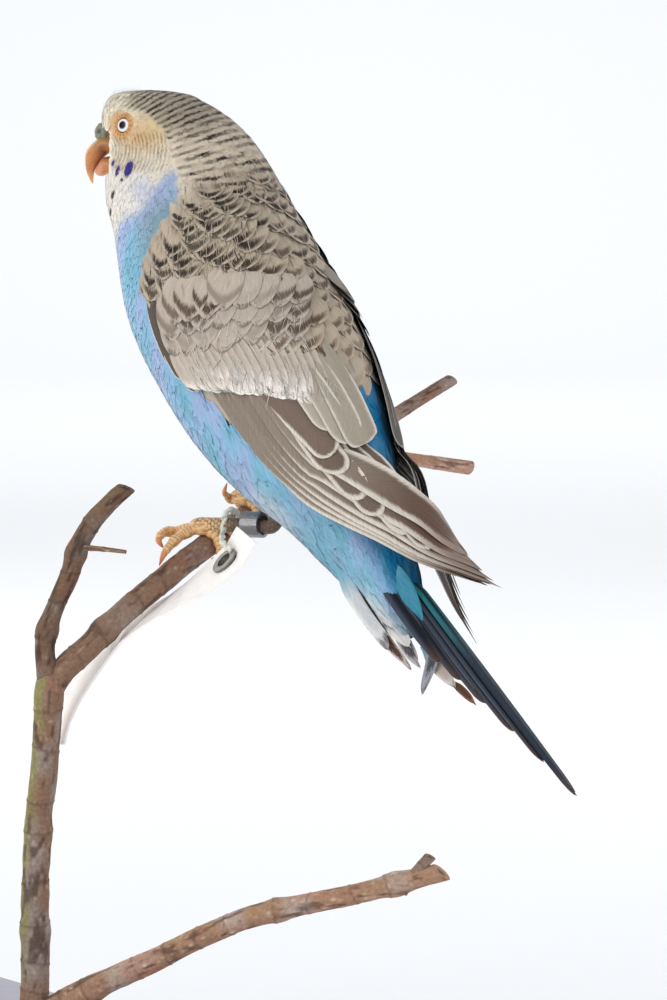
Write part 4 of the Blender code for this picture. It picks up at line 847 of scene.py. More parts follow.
def unwrapAt(runs, turns):  # a root's place on the coat's unwrap
    return 0.01 + 0.98 * turns / (2 * math.pi), 0.01 + 0.98 * runs / 150


plumage = plumageMaterial("softPlumage", sweep=3.0, fineness=2.6, length=0.2, ragged=0.7, contrast=0.22, sheen=0.06)


def makeCoat(settings):
    # Height = tip lift * v - root depth * (1 - v)^1.3 + the wings' cover; half width by the outline
    runs, turns, gaps, along, turn, _ = coatRoots(settings)
    rng = np.random.default_rng(settings["seed"] + 1)
    even = 0.4 if settings["mantle"] else 1.0
    lengths = gaps * settings["longer"] * (1 + even * rng.uniform(-0.12, 0.15, len(runs)))
    widths = gaps * settings["half"] * rng.uniform(0.88, 1.12, len(runs))
    drift = rng.normal(0.0, 0.25 * settings["stray"] + 0.02, len(runs))
    for low, high, name, rows, cols in settings["pieces"]:
        pick = (runs >= low) & (runs < high)
        v = featherSteps(rows, 1.3)
        count = int(pick.sum())
        place, normal = coatPaths(runs[pick], turns[pick], along[pick], turn[pick], v, lengths[pick], drift[pick])
        lift = coverOver(place)
        gap = gaps[pick][:, None]
        height = settings["tipLift"] * v - settings["rootDepth"] * (1 - v) ** 1.3 * np.minimum(1.0, gap / 1.6)
        height = height + lift + rng.uniform(-0.02, 0.05, (count, 1)) * v * gap
        place = raised(place, normal, height)
        half = widths[pick][:, None] * outline(v, settings["roundFrom"])[None] * mm
        co = featherSheets(place, normal, half, cols, fringe=0.06 if settings["mantle"] else 0.07, seed=5 + rows,
                           camber=0.03)
        tint, shade, phase, depth, al = coatColours(co, rng, plain=settings["mantle"])
        if settings["mantle"]:
            middle = al.mean(axis=(1, 2))[:, None, None]
            u = np.linspace(-1.0, 1.0, cols)[None, None, :]
            own = np.clip((v[None, :, None] + 0.3 * u**2 - 0.62) / 0.52, 0.0, 1.0)
            share = ramp(36.0, 32.0, middle)
            phase = np.where(share > 0.5, own, phase)
            dark = rng.uniform(0.8, 1.5, (count, 1, 1)) * ramp(-24.0, -8.0, middle)
            dark = np.clip(dark * (1 - 0.3 * ramp(10, -5, middle)), 0, 1) * ramp(1.05, 0.6, np.abs(u))
            depth = dark * np.ones_like(phase)
            shade = paint(hues, "bar", ("coverBar", ramp(20, -6, al)))
        featherPiece(name, plumage, co, normal, vaneMap(place, half, cols, 3),
                     unwrapAt(runs[pick], turns[pick]), tint, shade, phase, depth)


def makeWisps():
    # Thin strips, 1.05 - v^2 wide, that stand a little over the coat and rise at the forehead
    rng = np.random.default_rng(wisps["seed"] + 1)
    roots = coatRoots(wisps)
    keep = rng.random(len(roots[0])) < np.where(roots[-1], 0.3, 0.66)
    runs, turns, gaps, along, turn, onMantle = (part[keep] for part in roots)
    v = featherSteps(5, 1.2)
    count = len(runs)
    lengths = gaps * wisps["longer"] * rng.uniform(0.7, 1.5, count)
    place, normal = coatPaths(runs, turns, along, turn, v, lengths, rng.normal(0.0, 0.16, count), bend=0.15)
    lift = coverOver(place) + np.where(onMantle, 0.3, 0.0)[:, None]
    forward, rise, _ = headCoordinates(place[:, 0])
    tuft = (bump(forward, -1.0, 2.6) * ramp(4.5, 6.5, rise))[:, None]
    lift = lift + tuft * v**1.4 * rng.uniform(0.0, 1.5, (count, 1))
    height = lift + 0.06 - 0.2 * (1 - v) ** 2 + rng.uniform(0.0, 0.2, (count, 1)) * v**1.5
    place = raised(place, normal, height)
    half = np.clip(gaps, 0.6, 1.3)[:, None] * wisps["half"] * (1.05 - v**2)[None] * mm
    co = featherSheets(place, normal, half, 2, camber=0.0)
    tint, shade, phase, depth, al = coatColours(co, rng, spread=0.14)
    hair = onMantle[:, None, None] & (al < 34)
    depth = np.where(hair, rng.uniform(0.0, 1.1, (count, 1, 1)) ** 4, depth)
    phase = np.where(hair, 0.5, phase)
    vane = pairs(rng.uniform(0, 9, (count, 1, 1)) * np.ones(co.shape[:3]), rng.uniform(0, 400, (count, 1, 1)))
    featherPiece("looseBarbs", plumage, co, normal, vane, unwrapAt(runs, turns), tint, shade, phase,
                 depth)


def makeSkin():
    # The coat sheet sunk by the coat's depth, deeper round the bill, closed there and under the tail
    grid = skinGrid[:, :-1]
    forward, rise, _ = headCoordinates(grid)
    depth = 0.3 + 2.6 * (ramp(-2.2, 0.4, forward) * ramp(-7.6, -6.0, rise) * ramp(4.6, 3.4, rise))[..., None]
    normals = gridNormals(skinGrid, wrap=True)[:, :-1] * outward
    places = grid - normals * depth * mm
    rows, cols = places.shape[:2]
    every, faces = closeRings(places, flip=True)
    rng = np.random.default_rng(2)
    tint, shade, phase, depth = coatColours(every[None], rng, spread=0.0)[:4]
    turn = np.tile(np.linspace(0, 1, cols), rows)
    run = np.repeat(np.linspace(0, 1, rows), cols)
    flat = np.vstack([np.stack([turn, run], -1) * 0.98 + 0.01, [[0.5, 0.0], [0.5, 1.0]]])
    vane = np.vstack([np.stack([turn * 120, run * 150], -1), [[60.0, 0.0], [60.0, 150.0]]])
    lay = np.vstack([normals.reshape(-1, 3), headForward[None], -bodyAlong[None]])
    makePiece("skin", every, faces, plumage, [("Vane", vane), ("OFBake", flat)],
              [("tint", tint * 0.9), ("shade", shade)], [("phase", phase), ("depth", depth * 0.5)], lay,
              "head neck torso rump")


# Wing feathers' tips as place along and angle from the mid back, and their widths in millimetres
flight = {
    "secondaries": [(-31.5, 45.0, 6.4), (-37.5, 47.0, 6.4), (-43.0, 46.0, 6.4), (-47.5, 42.0, 6.4), (-53.0, 31.0,
        6.4), (-58.0, 20.0, 6.0)],
    "tertials": [(-27.0, 37.0, 7.2), (-31.0, 30.0, 7.8), (-34.0, 22.0, 8.4)],
    "left": [(-68.5, -8.0, 4.6), (-69.5, -14.0, 4.8), (-70.5, -19.0, 5.2), (-68.5, -21.0, 6.0), (-65.0, -22.0, 7.0),
        (-60.5, -22.0, 7.4)],
    "right": [(-75.5, 36.0, 4.6), (-74.0, 34.0, 4.6), (-71.5, 32.0, 4.8), (-68.5, 30.0, 5.0), (-65.0, 28.0, 5.2),
        (-61.5, 26.0, 5.6)],
}
vaneTones = readTones(
    edge=(222, 212, 199), vane=(142, 128, 115), vaneDark=(118, 101, 89), tipBrown=(98, 72, 58),
    covert=(190, 177, 163), fluff=(216, 210, 202), crescent=(82, 60, 48),
    alula=(92, 82, 74), tertial=(176, 165, 148), tertialDark=(150, 134, 116),
)
flightPlumage = plumageMaterial("flightPlumage", sweep=1.5, fineness=3.0, length=0.1, ragged=0.35, soft=0.4, level=0.5,
                                contrast=0.2, relief=0.2, edge=0.3, roughness=0.62, specular=0.2, sheen=0.03)
covertPlumage = plumageMaterial("covertPlumage", sweep=3.4, fineness=2.4, length=0.9, ragged=0.7, soft=0.6,
                                contrast=0.24, relief=0.15, edge=0.34, roughness=0.75, sheen=0.03)


# Tiers of a wing's feathers: rows and columns, where the tip begins to round, how frayed and how broadly edged
# they are, how high they stand over the core, and the light and dark tones
tiers = {
    "Primaries": {"light": "edge", "dark": "vane", "rows": 34, "cols": 25, "roundFrom": 0.84, "fringe": 0.05,
                  "edgeWidth": 0.3, "toTip": "tipBrown", "seed": 21, "over": 0.1, "step": 0.14},
    "Secondaries": {"light": "edge", "dark": "vaneDark", "rows": 28, "cols": 19, "roundFrom": 0.88, "fringe": 0.008,
                    "edgeWidth": 0.22, "seed": 22, "over": 0.45, "step": 0.12},
    "Tertials": {"light": "edge", "dark": "tertial", "rows": 24, "cols": 13, "roundFrom": 0.84, "fringe": 0.008,
                 "edgeWidth": 0.12, "seed": 23, "over": 0.6, "material": covertPlumage, "sunk": 0.8},
    "GreaterCoverts": {"light": "covertPale", "dark": "covert", "rows": 24, "cols": 25, "roundFrom": 0.72,
                       "fringe": 0.06, "edgeWidth": 0.25, "depth": 0.9, "toTip": "fluff", "tipFrom": 0.6, "seed": 24,
                       "over": 0.75, "material": covertPlumage, "sunk": 1.2, "step": 0.05, "camber": 0.02},
    "FrontBlades": {"light": "edge", "dark": "alula", "rows": 16, "cols": 9, "roundFrom": 0.85, "fringe": 0.03,
                    "edgeWidth": 0.12, "seed": 25, "over": 1.2, "sunk": 1.0},
    "MedianCoverts": {"light": "covert", "dark": "crescent", "rows": 20, "cols": 21, "roundFrom": 0.42,
                      "fringe": 0.07, "crescent": (0.6, 1.08), "sunk": 1.6, "step": 0.06,
                      "material": covertPlumage, "camber": 0.02},
}
vaneTones["covertPale"] = vaneTones["covert"] * 1.12


def wingFeathers(key, name, roots, tips, widths, heights, light, dark, rows, cols, roundFrom, fringe, seed, over,
                 edgeWidth=0.16, root=0.5, bend=0.0, depth=1.0, crescent=None, toTip=None, tipFrom=0.45,
                 camber=0.05, material=flightPlumage, sunk=0.0, step=0.1):
    # Place and angle run from root to tip, the angle bowed by bend * sin(pi v); heights run evenly,
    # but no feather sinks into the wing's core
    wing = wings[key]
    v = featherSteps(rows, 1.5)
    rng = np.random.default_rng(seed)
    roots, tips, heights = (np.asarray(part, float)[:, None] for part in (roots, tips, heights))
    count = len(roots)
    bend = np.broadcast_to(np.asarray(bend, float), (count,))[:, None]
    along = roots[..., 0] + (tips[..., 0] - roots[..., 0]) * v
    turn = roots[..., 1] + (tips[..., 1] - roots[..., 1]) * v + bend * np.sin(math.pi * v)
    place, normal = wing["on"](along, turn)
    share = wingShare(wing, along, turn)
    core = coreHeight(share, along, wing["lift"]) * ramp(-36.0, -26.0, along)
    order = over + step * np.arange(count)[:, None] - sunk * (1 - v) ** 2
    height = np.maximum(heights[..., 0] + (heights[..., 1] - heights[..., 0]) * v - sunk * (1 - v) ** 2,
                        core * 0.8 + order)
    place = raised(place, normal, height)
    half = np.asarray(widths, float)[:, None] / 2 * outline(v, roundFrom, root) * mm
    co = featherSheets(place, normal, half, cols, camber=camber, fringe=fringe, seed=seed, shaft=0.05 * mm)
    field = fieldOf(v, cols, count, roundFrom, root)
    u = np.linspace(-1.0, 1.0, cols)
    # The right wing's upper part is painted darker, a painted shadow of the body: light tints halved, dark shades cut
    # to 15 percent
    paintedShadow = (ramp(0.5, 0.74, share) * (key == "right"))[:, :, None, None] * np.ones((cols, 1))
    tints = vaneTones[light] * (1 - 0.5 * paintedShadow)
    shades = vaneTones[dark] * (1 - 0.12 * ramp(0.0, 0.6, u))[:, None]
    shades = shades * rng.uniform(0.92, 1.08, (count, 1, 1, 1)) * (1 - 0.85 * paintedShadow)
    if crescent is None:
        phase = 0.5 * np.clip((1.0 - field) / (2 * edgeWidth), 0.0, 1.0)
    else:
        across = v[:, None] + 0.3 * u**2
        phase = np.clip((across - crescent[0]) / (crescent[1] - crescent[0]), 0.0, 1.0) * np.ones_like(field)
    depth = np.asarray(depth, float).reshape(-1, 1, 1) * np.ones_like(field)
    if toTip:
        shades = blend(shades, vaneTones[toTip], ramp(tipFrom, tipFrom + 0.4, v)[:, None])
        tints = blend(tints, vaneTones[toTip] * 1.5, 0.8 * ramp(0.72, 0.95, v)[:, None])
    number = rng.uniform(0.05, 0.95, count)
    featherPiece(key + name, material, co, normal, vaneMap(place, half, cols, seed),
                 (number, number[::-1]), tints, shades, phase, depth, flip=wing["side"] > 0)


def wallNormals(places, rows, cols):
    # Normals of a closed tube of rings, pointing away from the middle of each ring
    ring = places[:rows * cols].reshape(rows, cols, 3)
    normal = unit(np.cross(np.roll(ring, -1, axis=1) - np.roll(ring, 1, axis=1), np.gradient(ring, axis=0)))
    away = ring - ring.mean(axis=1, keepdims=True)
    normal = normal * np.sign(np.sum(normal * away, axis=-1, keepdims=True))
    return np.vstack([normal.reshape(-1, 3), bodyAlong[None], -bodyAlong[None]])


def makeWing(key):
    # A core over the sheet, then tiers of feathers from the lower edge up
    wing = wings[key]
    lift = wing["lift"]
    # Core: the sheet raised by its crest above, and by its own gap below, closed at both ends
    along = wings["core"]["from"] + (wings["core"]["to"] - wings["core"]["from"]) * featherSteps(60, 0.7)
    low, high = wing["edges"](along)
    share = np.linspace(0.02, 0.98, 30)
    turn = low[:, None] + (high - low)[:, None] * share
    place, normal = wing["on"](np.broadcast_to(along[:, None], turn.shape), turn)
    top = coreHeight(share[None], along[:, None], lift) * 0.78
    upper = raised(place, normal, top)
    under = (place + normal * (0.25 * mm))[:, ::-1]
    ring = np.concatenate([upper, under], axis=1)
    rows, cols = ring.shape[:2]
    every, faces = closeRings(ring, flip=wing["side"] > 0)
    # The right wing's core is painted at a tenth of the left's colour: painted shadow of the body
    ones = np.full((len(every), 1), 1.0 if key == "left" else 0.1)
    vane = np.vstack([pairs(np.arange(cols) * 0.8, np.arange(rows)[:, None] * 1.0).reshape(-1, 2), np.zeros((2, 2))])
    makePiece(key + "WingCore", every, faces, plumage, [("Vane", vane), ("OFBake", vane / 100)],
              [("tint", ones * vaneTones["covert"]), ("shade", ones * vaneTones["vane"])],
              [("phase", ones * 0.0), ("depth", ones * 0.0)], wallNormals(every, rows, cols), "wing_" + key)
    # Primaries along the lower edge, the longest ones bare at the tip
    table = np.array(flight[key])
    index = np.arange(6)
    roots = pairs(-8.0, 88.0 - 5.0 * index)
    low, high = wing["edges"]((roots[:, 0] + table[:, 0]) / 2)
    bend = low + (high - low) * (0.04 + 0.1 * index) - (roots[:, 1] + table[:, 1]) / 2
    wingFeathers(key, "Primaries", roots, table[:, :2], table[:, 2] + 0.4,
                 pairs(0.85 + 0.14 * index, 0.85 + 0.42 * index), bend=bend, **tiers["Primaries"])
    table, index = np.array(flight["secondaries"])[::-1], index[::-1]
    wingFeathers(key, "Secondaries", pairs(-8.0, 66.0 - 6.0 * index), table[:, :2], table[:, 2],
                 pairs(1.3, 2.6 - 0.1 * index) * lift, **tiers["Secondaries"])
    table, index = np.array(flight["tertials"]), np.arange(3)
    wingFeathers(key, "Tertials", pairs(-2.0, 46.0 - 9.0 * index), table[:, :2], table[:, 2],
                 pairs(1.5, 2.7 + 0.3 * index) * lift, **tiers["Tertials"])
    # Greater coverts: pale, streaked, with white fluffy ends
    index = np.linspace(0.0, 8.4, 17)[::-1]
    wingFeathers(key, "GreaterCoverts", pairs(9.0 - 0.9 * index, 97.0 - 7.6 * index),
                 pairs(-5.5 - 2.0 * index, 95.0 - 7.0 * index), np.full(17, 5.4), np.array([[1.2, 2.35]] * 17) * lift,
                 **tiers["GreaterCoverts"])
    # Dark stiff feathers of the wing's front edge
    wingFeathers(key, "FrontBlades", [(21.0, 99.0), (18.0, 102.0), (14.0, 103.0), (10.0, 102.0)],
                 [(6.0, 103.5), (2.0, 103.5), (-2.0, 101.0), (-6.0, 97.0)], [3.4, 3.4, 3.6, 3.4], [[1.3, 2.2]] * 4,
                 **tiers["FrontBlades"])
    # Median coverts: rounded and broad, each with a brown crescent
    rng = np.random.default_rng(31)
    strong = ((0.95, 0.9, 0.3, 0.06, 0.04, 0.25, 0.35, 0.2), (0.9, 0.5, 0.15, 0.1, 0.16, 0.75, 0.95, 0.6),
              (0.95, 0.85, 0.3, 0.12, 0.5, 1.0, 0.95, 0.8))
    for row, (start, length) in enumerate(((12.5, 11.5), (15.5, 10.5), (18.5, 10.0))):
        index = np.arange(8) + 0.5 * row
        roots = pairs(start - 1.45 * index, 84.0 - 8.8 * index) + rng.uniform(-1, 1, (8, 2)) * (0.9, 1.6)
        tips = roots + (-length * 0.86, length * 0.5 * 2.7)
        tips[:, 1] = np.minimum(tips[:, 1], 100.0)
        wingFeathers(key, "MedianCoverts" + str(row), roots[::-1], tips[::-1], rng.uniform(6.8, 8.0, 8),
                     [[1.4 * lift, 2.5 * lift]] * 8, depth=strong[row], seed=26 + row,
                     over=(1.0 if key == "left" else 0.3) + 0.2 * row, **tiers["MedianCoverts"])


# Tail feathers in graduated pairs: root and tip as place along and height over the centre line
tail = {"root": (-50.0, 7.2), "tip": (-116.0, 16.6), "lengths": (1.0, 0.86, 0.73, 0.61, 0.51, 0.43),
        "width": 5.6, "out": 0.75, "down": 0.62}
tailTones = readTones(
    navy=(14, 32, 52), teal=(52, 142, 150), dark=(26, 28, 38), pale=(150, 150, 156),
    brown=(84, 66, 58), steel=(96, 104, 120),
)


def makeTail():
    # Place = root + way * length * v, each pair out by its number and down by its depth
    root = np.array(tail["root"])
    reach = np.array(tail["tip"]) - root
    length = np.linalg.norm(reach)
    way = reach / length
    rise = np.array([-way[1], way[0]]) * np.sign(way[0])
    up = bodyAlong * rise[0] + bodyBack * rise[1]
    rows, cols = 40, 13
    v = featherSteps(rows, 1.3)
    pair = np.repeat(np.arange(6), 2)[::-1]
    side = np.tile([1, -1], 6)[::-1]
    share = np.array(tail["lengths"])[pair] * np.where(side < 0, 0.985, 1.0)
    line = root + (share * length)[:, None, None] * v[None, :, None] * way
    spread = tail["out"] * (0.4 + pair)[:, None] * (0.3 + 0.7 * ramp(0.0, 0.3, v))
    out = side[:, None] * (spread + (0.5 * pair)[:, None] * v + 0.2 * v)
    down = tail["down"] * pair + np.where(side < 0, 0.3, 0.0)
    down = down[:, None] + 3.4 * ramp(0.2, 0.0, v)
    place = inBody(line[..., 0], out, line[..., 1]) - up * (down[..., None] * mm)
    roll = (side * 0.1 * pair)[:, None, None]
    normal = np.broadcast_to(up * np.cos(roll) + bodyLeft * np.sin(roll), place.shape)
    taper = outline(v, 0.93, 0.6) * (1 - 0.62 * v[None] ** 1.6)
    half = np.broadcast_to(tail["width"] / 2 * taper * mm, (12, rows))
    co = featherSheets(place, normal, half, cols, camber=0.2, fringe=0.006, seed=41, shaft=0.12 * mm)
    u = np.linspace(-1.0, 1.0, cols)
    field = fieldOf(v, cols, 12, 0.93, 0.6)
    centre, outer = (pick[:, None, None] * np.ones_like(field) for pick in (pair == 0, pair > 0))
    far = v[:, None]
    shade = paint(tailTones, "navy", ("teal", ramp(0.5, 0.2, far) * (0.1 + 0.9 * ramp(0.15, 0.55, np.abs(u))) * centre),
                  ("brown", centre * ramp(0.86, 1.0, far) * 0.7), ("dark", outer * 0.7),
                  ("steel", outer * ramp(0.2, 0.8, -u) * 0.5), ("brown", outer * ramp(0.75, 1.0, far) * 0.8))
    shade = shade * np.where(np.abs(u) < 0.05, 0.6, 1.0)[:, None]
    tint = blend(shade * 1.6, tailTones["pale"], outer * 0.25)
    phase = 0.5 * np.clip((1.0 - field) / 0.16, 0.0, 1.0)
    number = np.linspace(0.1, 0.9, 12)
    featherPiece("tailFeathers", flightPlumage, co, normal, vaneMap(place, half, cols, 42),
                 (number, number), tint, shade, phase, np.ones_like(field), instead="tail")


# Loose strands over the folded wings: their number, and how many of them are pale
strands = {"count": 1500, "seed": 91, "along": (-24.0, 14.0), "turn": (14.0, 98.0), "length": (2.4, 5.0),
           "half": 0.04, "pale": 0.8, "over": 1.7}


def makeStrands():
    # Strand angle = root angle + drift down and out; height = the wing's core + over, more at the tip
    rng = np.random.default_rng(strands["seed"])
    wing = wings["left"]
    count = strands["count"]
    along = rng.uniform(*strands["along"], count)
    turn = rng.uniform(*strands["turn"], count)
    ends = -5.5 - 0.265 * (95.0 - turn)
    keep = (turn < 97 + 0.4 * along) & (turn > 24 + 1.2 * np.clip(along, 0, 20)) & (along > ends + 1.0)
    keep &= rng.random(count) < 0.12 + 0.88 * bump(along, ends + 4.0, 2.6)
    along, turn = along[keep], turn[keep]
    count = len(along)
    v = np.linspace(0.0, 1.0, 6)
    length = rng.uniform(*strands["length"], count)
    lean = rng.normal(0.32, 0.4, count)
    run = along[:, None] - (length * np.cos(lean))[:, None] * v
    spin = turn[:, None] + (length * np.sin(lean) * 2.7 * ramp(92.0, 70.0, turn))[:, None] * v
    place, normal = wing["on"](run, spin)
    height = coreHeight(wingShare(wing, run, spin), run, 1.0) * 0.8 + strands["over"]
    height = height + 0.25 * v * rng.uniform(0.0, 1.0, (count, 1)) - 0.5 * (1 - v) ** 2
    place = raised(place, normal, height)
    half = strands["half"] * rng.uniform(0.6, 1.5, (count, 1)) * (1.05 - v**2)[None] * mm
    co = featherSheets(place, normal, half, 2, camber=0.0)
    pale = rng.random((count, 1, 1)) < strands["pale"]
    tint = np.where(pale[..., None], vaneTones["fluff"], vaneTones["vane"]) * rng.uniform(0.9, 1.1, (count, 1, 1, 1))
    tint = tint * np.ones((*co.shape[:3], 1))
    vane = np.zeros(co.shape[:3] + (2,)) + rng.uniform(0, 300, (count, 1, 1, 1))
    number = rng.uniform(0.05, 0.95, count)
    zero = np.zeros(co.shape[:3])
    featherPiece("wingStrands", plumage, co, normal, vane, (number, number[::-1]), tint, tint, zero,
                 zero)


# Feathers under the tail's root, as places across and up in millimetres in the camera's own plane about its aim,
# then the width, the distance nearer than the tail's middle, and the light and dark colours
trailing = {
    "aim": (81.0, 45.0, 121.3),
    "feathers": [([(-0.1, -13.0), (5.4, -20.8), (10.8, -29.8)], 4.2, 4.0, (232, 230, 228), (206, 210, 212)), ([(3.2,
        -15.5), (9.0, -22.4), (15.4, -29.6)], 4.8, 3.4, (236, 234, 230), (206, 206, 204)), ([(4.6, -17.4), (7.2,
        -21.6), (11.2, -27.4)], 0.45, 4.9, (50, 44, 42), (34, 30, 30)), ([(7.4, -24.0), (11.2, -29.2), (15.6, -34.4)],
        2.2, 2.6, (226, 214, 206), (88, 56, 44)), ([(11.6, -24.4), (14.6, -29.4), (17.6, -34.0)], 2.8, 3.0, (196, 192,
        194), (84, 80, 84)), ([(8.6, -10.5), (14.0, -17.0), (17.6, -24.4)], 3.6, 5.2, (60, 140, 160), (70, 140, 168)),
        ([(7.6, -12.0), (11.2, -19.4), (14.2, -25.8)], 4.4, 5.6, (150, 176, 190), (120, 158, 186)), ([(16.6, -22.0),
        (20.6, -28.6), (18.2, -38.8)], 2.9, 3.6, (170, 170, 178), (78, 80, 90)), ([(17.8, -30.0), (21.0, -33.8),
        (24.6, -37.8)], 2.8, 1.8, (232, 222, 214), (206, 186, 174)), ([(23.4, -36.4), (26.2, -38.8), (28.8, -41.4)],
        1.7, 1.6, (150, 110, 84), (96, 66, 50))],
}


def makeTrailing():
    # Place = aim + across * x, depth from the tail's own line there, height so that it is seen at the given rise
    aim = np.array(trailing["aim"])
    line = inBody(np.array([-50.0, -116.0]), np.zeros(2), np.array([7.2, 16.6])) / mm
    order = np.argsort(line[:, 0])
    rows, cols = 22, 17
    v = featherSteps(rows, 1.3)
    place, half = [], []
    for points, width, nearer, _, _ in trailing["feathers"]:
        points = smoothAt(np.array([0.0, 0.5, 1.0]), np.array(points), v)
        x = aim[0] + points[:, 0]
        depth = np.interp(x, line[order, 0], line[order, 1]) - nearer
        z = aim[2] + (points[:, 1] - (depth - aim[1]) * math.sin(tilt)) / math.cos(tilt)
        place.append(np.stack([x, depth, z], -1) * mm)
        half.append(width / 2 * outline(v, 0.5, 0.15) * mm)
    place, half = np.array(place), np.array(half)
    normal = np.broadcast_to(unit(bodyLeft * 0.5 + np.array([0.0, -1.0, 0.1])), place.shape)
    co = featherSheets(place, normal, half, cols, camber=0.12, fringe=0.13, seed=95)
    field = fieldOf(v, cols, len(place), 0.5, 0.15)
    root = ramp(0.5, 0.1, v)[:, None] * (half.max(axis=1) > 1.2 * mm)[:, None, None] * np.ones_like(field)
    tint, shade = (blend(np.array([tone(*row[k]) for row in trailing["feathers"]])[:, None, None], hues["undertail"],
                         root) for k in (3, 4))
    number = np.linspace(0.1, 0.9, len(place))
    featherPiece("undertailFeathers", covertPlumage, co, normal, vaneMap(place, half, cols, 96),
                 (number, number), tint, shade, 0.5 * np.clip((1.0 - field) / 0.5, 0, 1), np.ones_like(field))


makeSkin()
makeCoat(tufts)
makeCoat(mantle)
makeWisps()
print("coat grown")
for key in ("left", "right"):
    makeWing(key)
makeStrands()
makeTail()
makeTrailing()
print("wings and tail folded")

# Bill: stations of outer ridge and inner edge, forward and up from its root, and half width, in millimetres
bill = {
    "upper": [((-1.6, 2.0), (-2.4, -2.6), 4.0), ((0.4, 2.0), (-0.4, -2.5), 4.1), ((1.98, 1.66), (0.7, -2.3), 4.1),
        ((3.2, 1.1), (1.3, -2.2), 4.0), ((4.3, 0.25), (2.0, -2.6), 3.75), ((5.45, -0.79), (2.6, -3.13), 3.35), ((6.2,
        -1.9), (3.2, -3.75), 2.95), ((6.5, -3.34), (3.7, -4.41), 2.45), ((6.46, -4.83), (4.2, -5.15), 1.95), ((6.15,
        -6.33), (4.55, -5.9), 1.4), ((5.75, -7.4), (4.78, -6.95), 0.9), ((5.3, -8.25), (4.82, -7.9), 0.42), ((4.95,
        -8.7), (4.85, -8.62), 0.08)],
    "lower": [((-1.5, -3.0), (-1.5, -7.0), 3.0), ((0.4, -2.9), (0.2, -6.6), 3.1), ((2.0, -3.0), (1.3, -6.6), 2.9),
        ((3.2, -4.0), (2.2, -6.9), 2.4), ((3.9, -5.0), (2.9, -7.1), 1.8), ((4.25, -5.8), (3.6, -7.0), 1.1), ((4.4,
        -6.2), (4.2, -6.6), 0.3)],
}
billTones = readTones(
    ridge=(176, 126, 66), side=(196, 128, 74), deep=(132, 70, 44), tip=(236, 172, 96),
    pink=(222, 150, 116), cere=(128, 130, 112), cereDark=(84, 88, 80), lid=(204, 148, 80),
    lidDark=(134, 86, 44), lidRim=(66, 50, 44), iris=(236, 234, 240), pupil=(8, 6, 8),
)


def paintMaterial(name, grain=0.12, scale=900.0, relief=0.15, distance=0.1, stretch=(), **settings):
    # Vertex colour with a fine grain in value and height; with a stretch, the settings' own colour instead
    material, tree, shader = newMaterial(name, **settings)
    place = addNode(tree, "TexCoord").outputs["Object"]
    if stretch:
        colour, lighter, rough = tuple(settings["colour"]), 0.5, 0.5
        place = addNode(tree, "VectorMath", {0: place, 1: stretch}, operation="MULTIPLY").outputs[0]
    else:
        colour, lighter, rough = readAttribute(tree, "tint", "Color"), 1.0, 0.6
    noise = addNode(tree, "TexNoise", {"Vector": place, "Scale": scale, "Detail": 4.0, "Roughness": rough})
    dim = mapRange(tree, noise.outputs[0], 0.3, 0.7, 1.0 - grain, 1.0 + lighter * grain, smooth=False)
    finishShader(tree, shader, colour, dim, noise.outputs[0], relief, distance)
    return material


hornPaint = paintMaterial("hornPaint", grain=0.1, scale=500.0, relief=0.2, roughness=0.38, specular=0.45, coat=0.15)
waxPaint = paintMaterial("waxPaint", grain=0.25, scale=1500.0, relief=0.5, roughness=0.6)
glassPaint = paintMaterial("glassPaint", grain=0.0, relief=0.0, roughness=0.1, specular=0.12)


def makeBill(node, rows, sides):
    # Rings round each station's middle: ridge way * cos + left * half width * sin, squarer than an ellipse
    stations = bill[node]
    keys = np.arange(len(stations), dtype=float)
    fine = np.linspace(0, keys[-1], rows)
    outer, inner = (smoothAt(keys, np.array([row[k] for row in stations]), fine) for k in (0, 1))
    half = smoothAt(keys, np.array([row[2] for row in stations]), fine)
    angle = circle(sides)
    c, d = np.cos(angle), np.sin(angle)
    middle, reach = (outer + inner) / 2, (outer - inner) / 2
    places = inHead(middle[:, None, 0] + reach[:, None, 0] * c, half[:, None] * np.sign(d) * np.abs(d) ** 0.8,
                    middle[:, None, 1] + reach[:, None, 1] * c)
    every, faces = closeRings(places, flip=True)
    forward, rise, _ = headCoordinates(every)
    if node == "upper":
        tint = paint(billTones, "ridge", ("side", ramp(0.5, -3.0, rise)),
                     ("deep", bump(np.hypot(forward - 1.9, rise + 1.6), 0, 1.3) * 0.8),
                     ("pink", ramp(-4.0, -5.6, rise) * ramp(5.6, 4.4, forward) * 0.6),
                     ("tip", ramp(-5.6, -7.4, rise) * 0.8))
    else:
        tint = paint(billTones, "side", ("pink", ramp(1.6, 3.0, forward)))
    makePiece("bill" + node.title(), every, faces, hornPaint, tint=tint,
              instead="bill_" + node)


# Cere, eyes and lids: places and sizes in millimetres, angles from the eye's axis in degrees
head = {
    "cereAt": (1.9, 1.65, 2.15), "cereSize": (2.1, 1.9, 2.15), "nostril": (0.42, 0.85, 0.15), "nostrilWide": 0.24,
    "eyeAt": (-4.9, 3.65), "ball": 2.45, "sunk": 1.75, "pupil": (19.6, 18.0), "iris": (34.0, 37.0),
    "lid": (1.36, 2.95), "oval": (0.95, 1.14), "beads": 15,
}


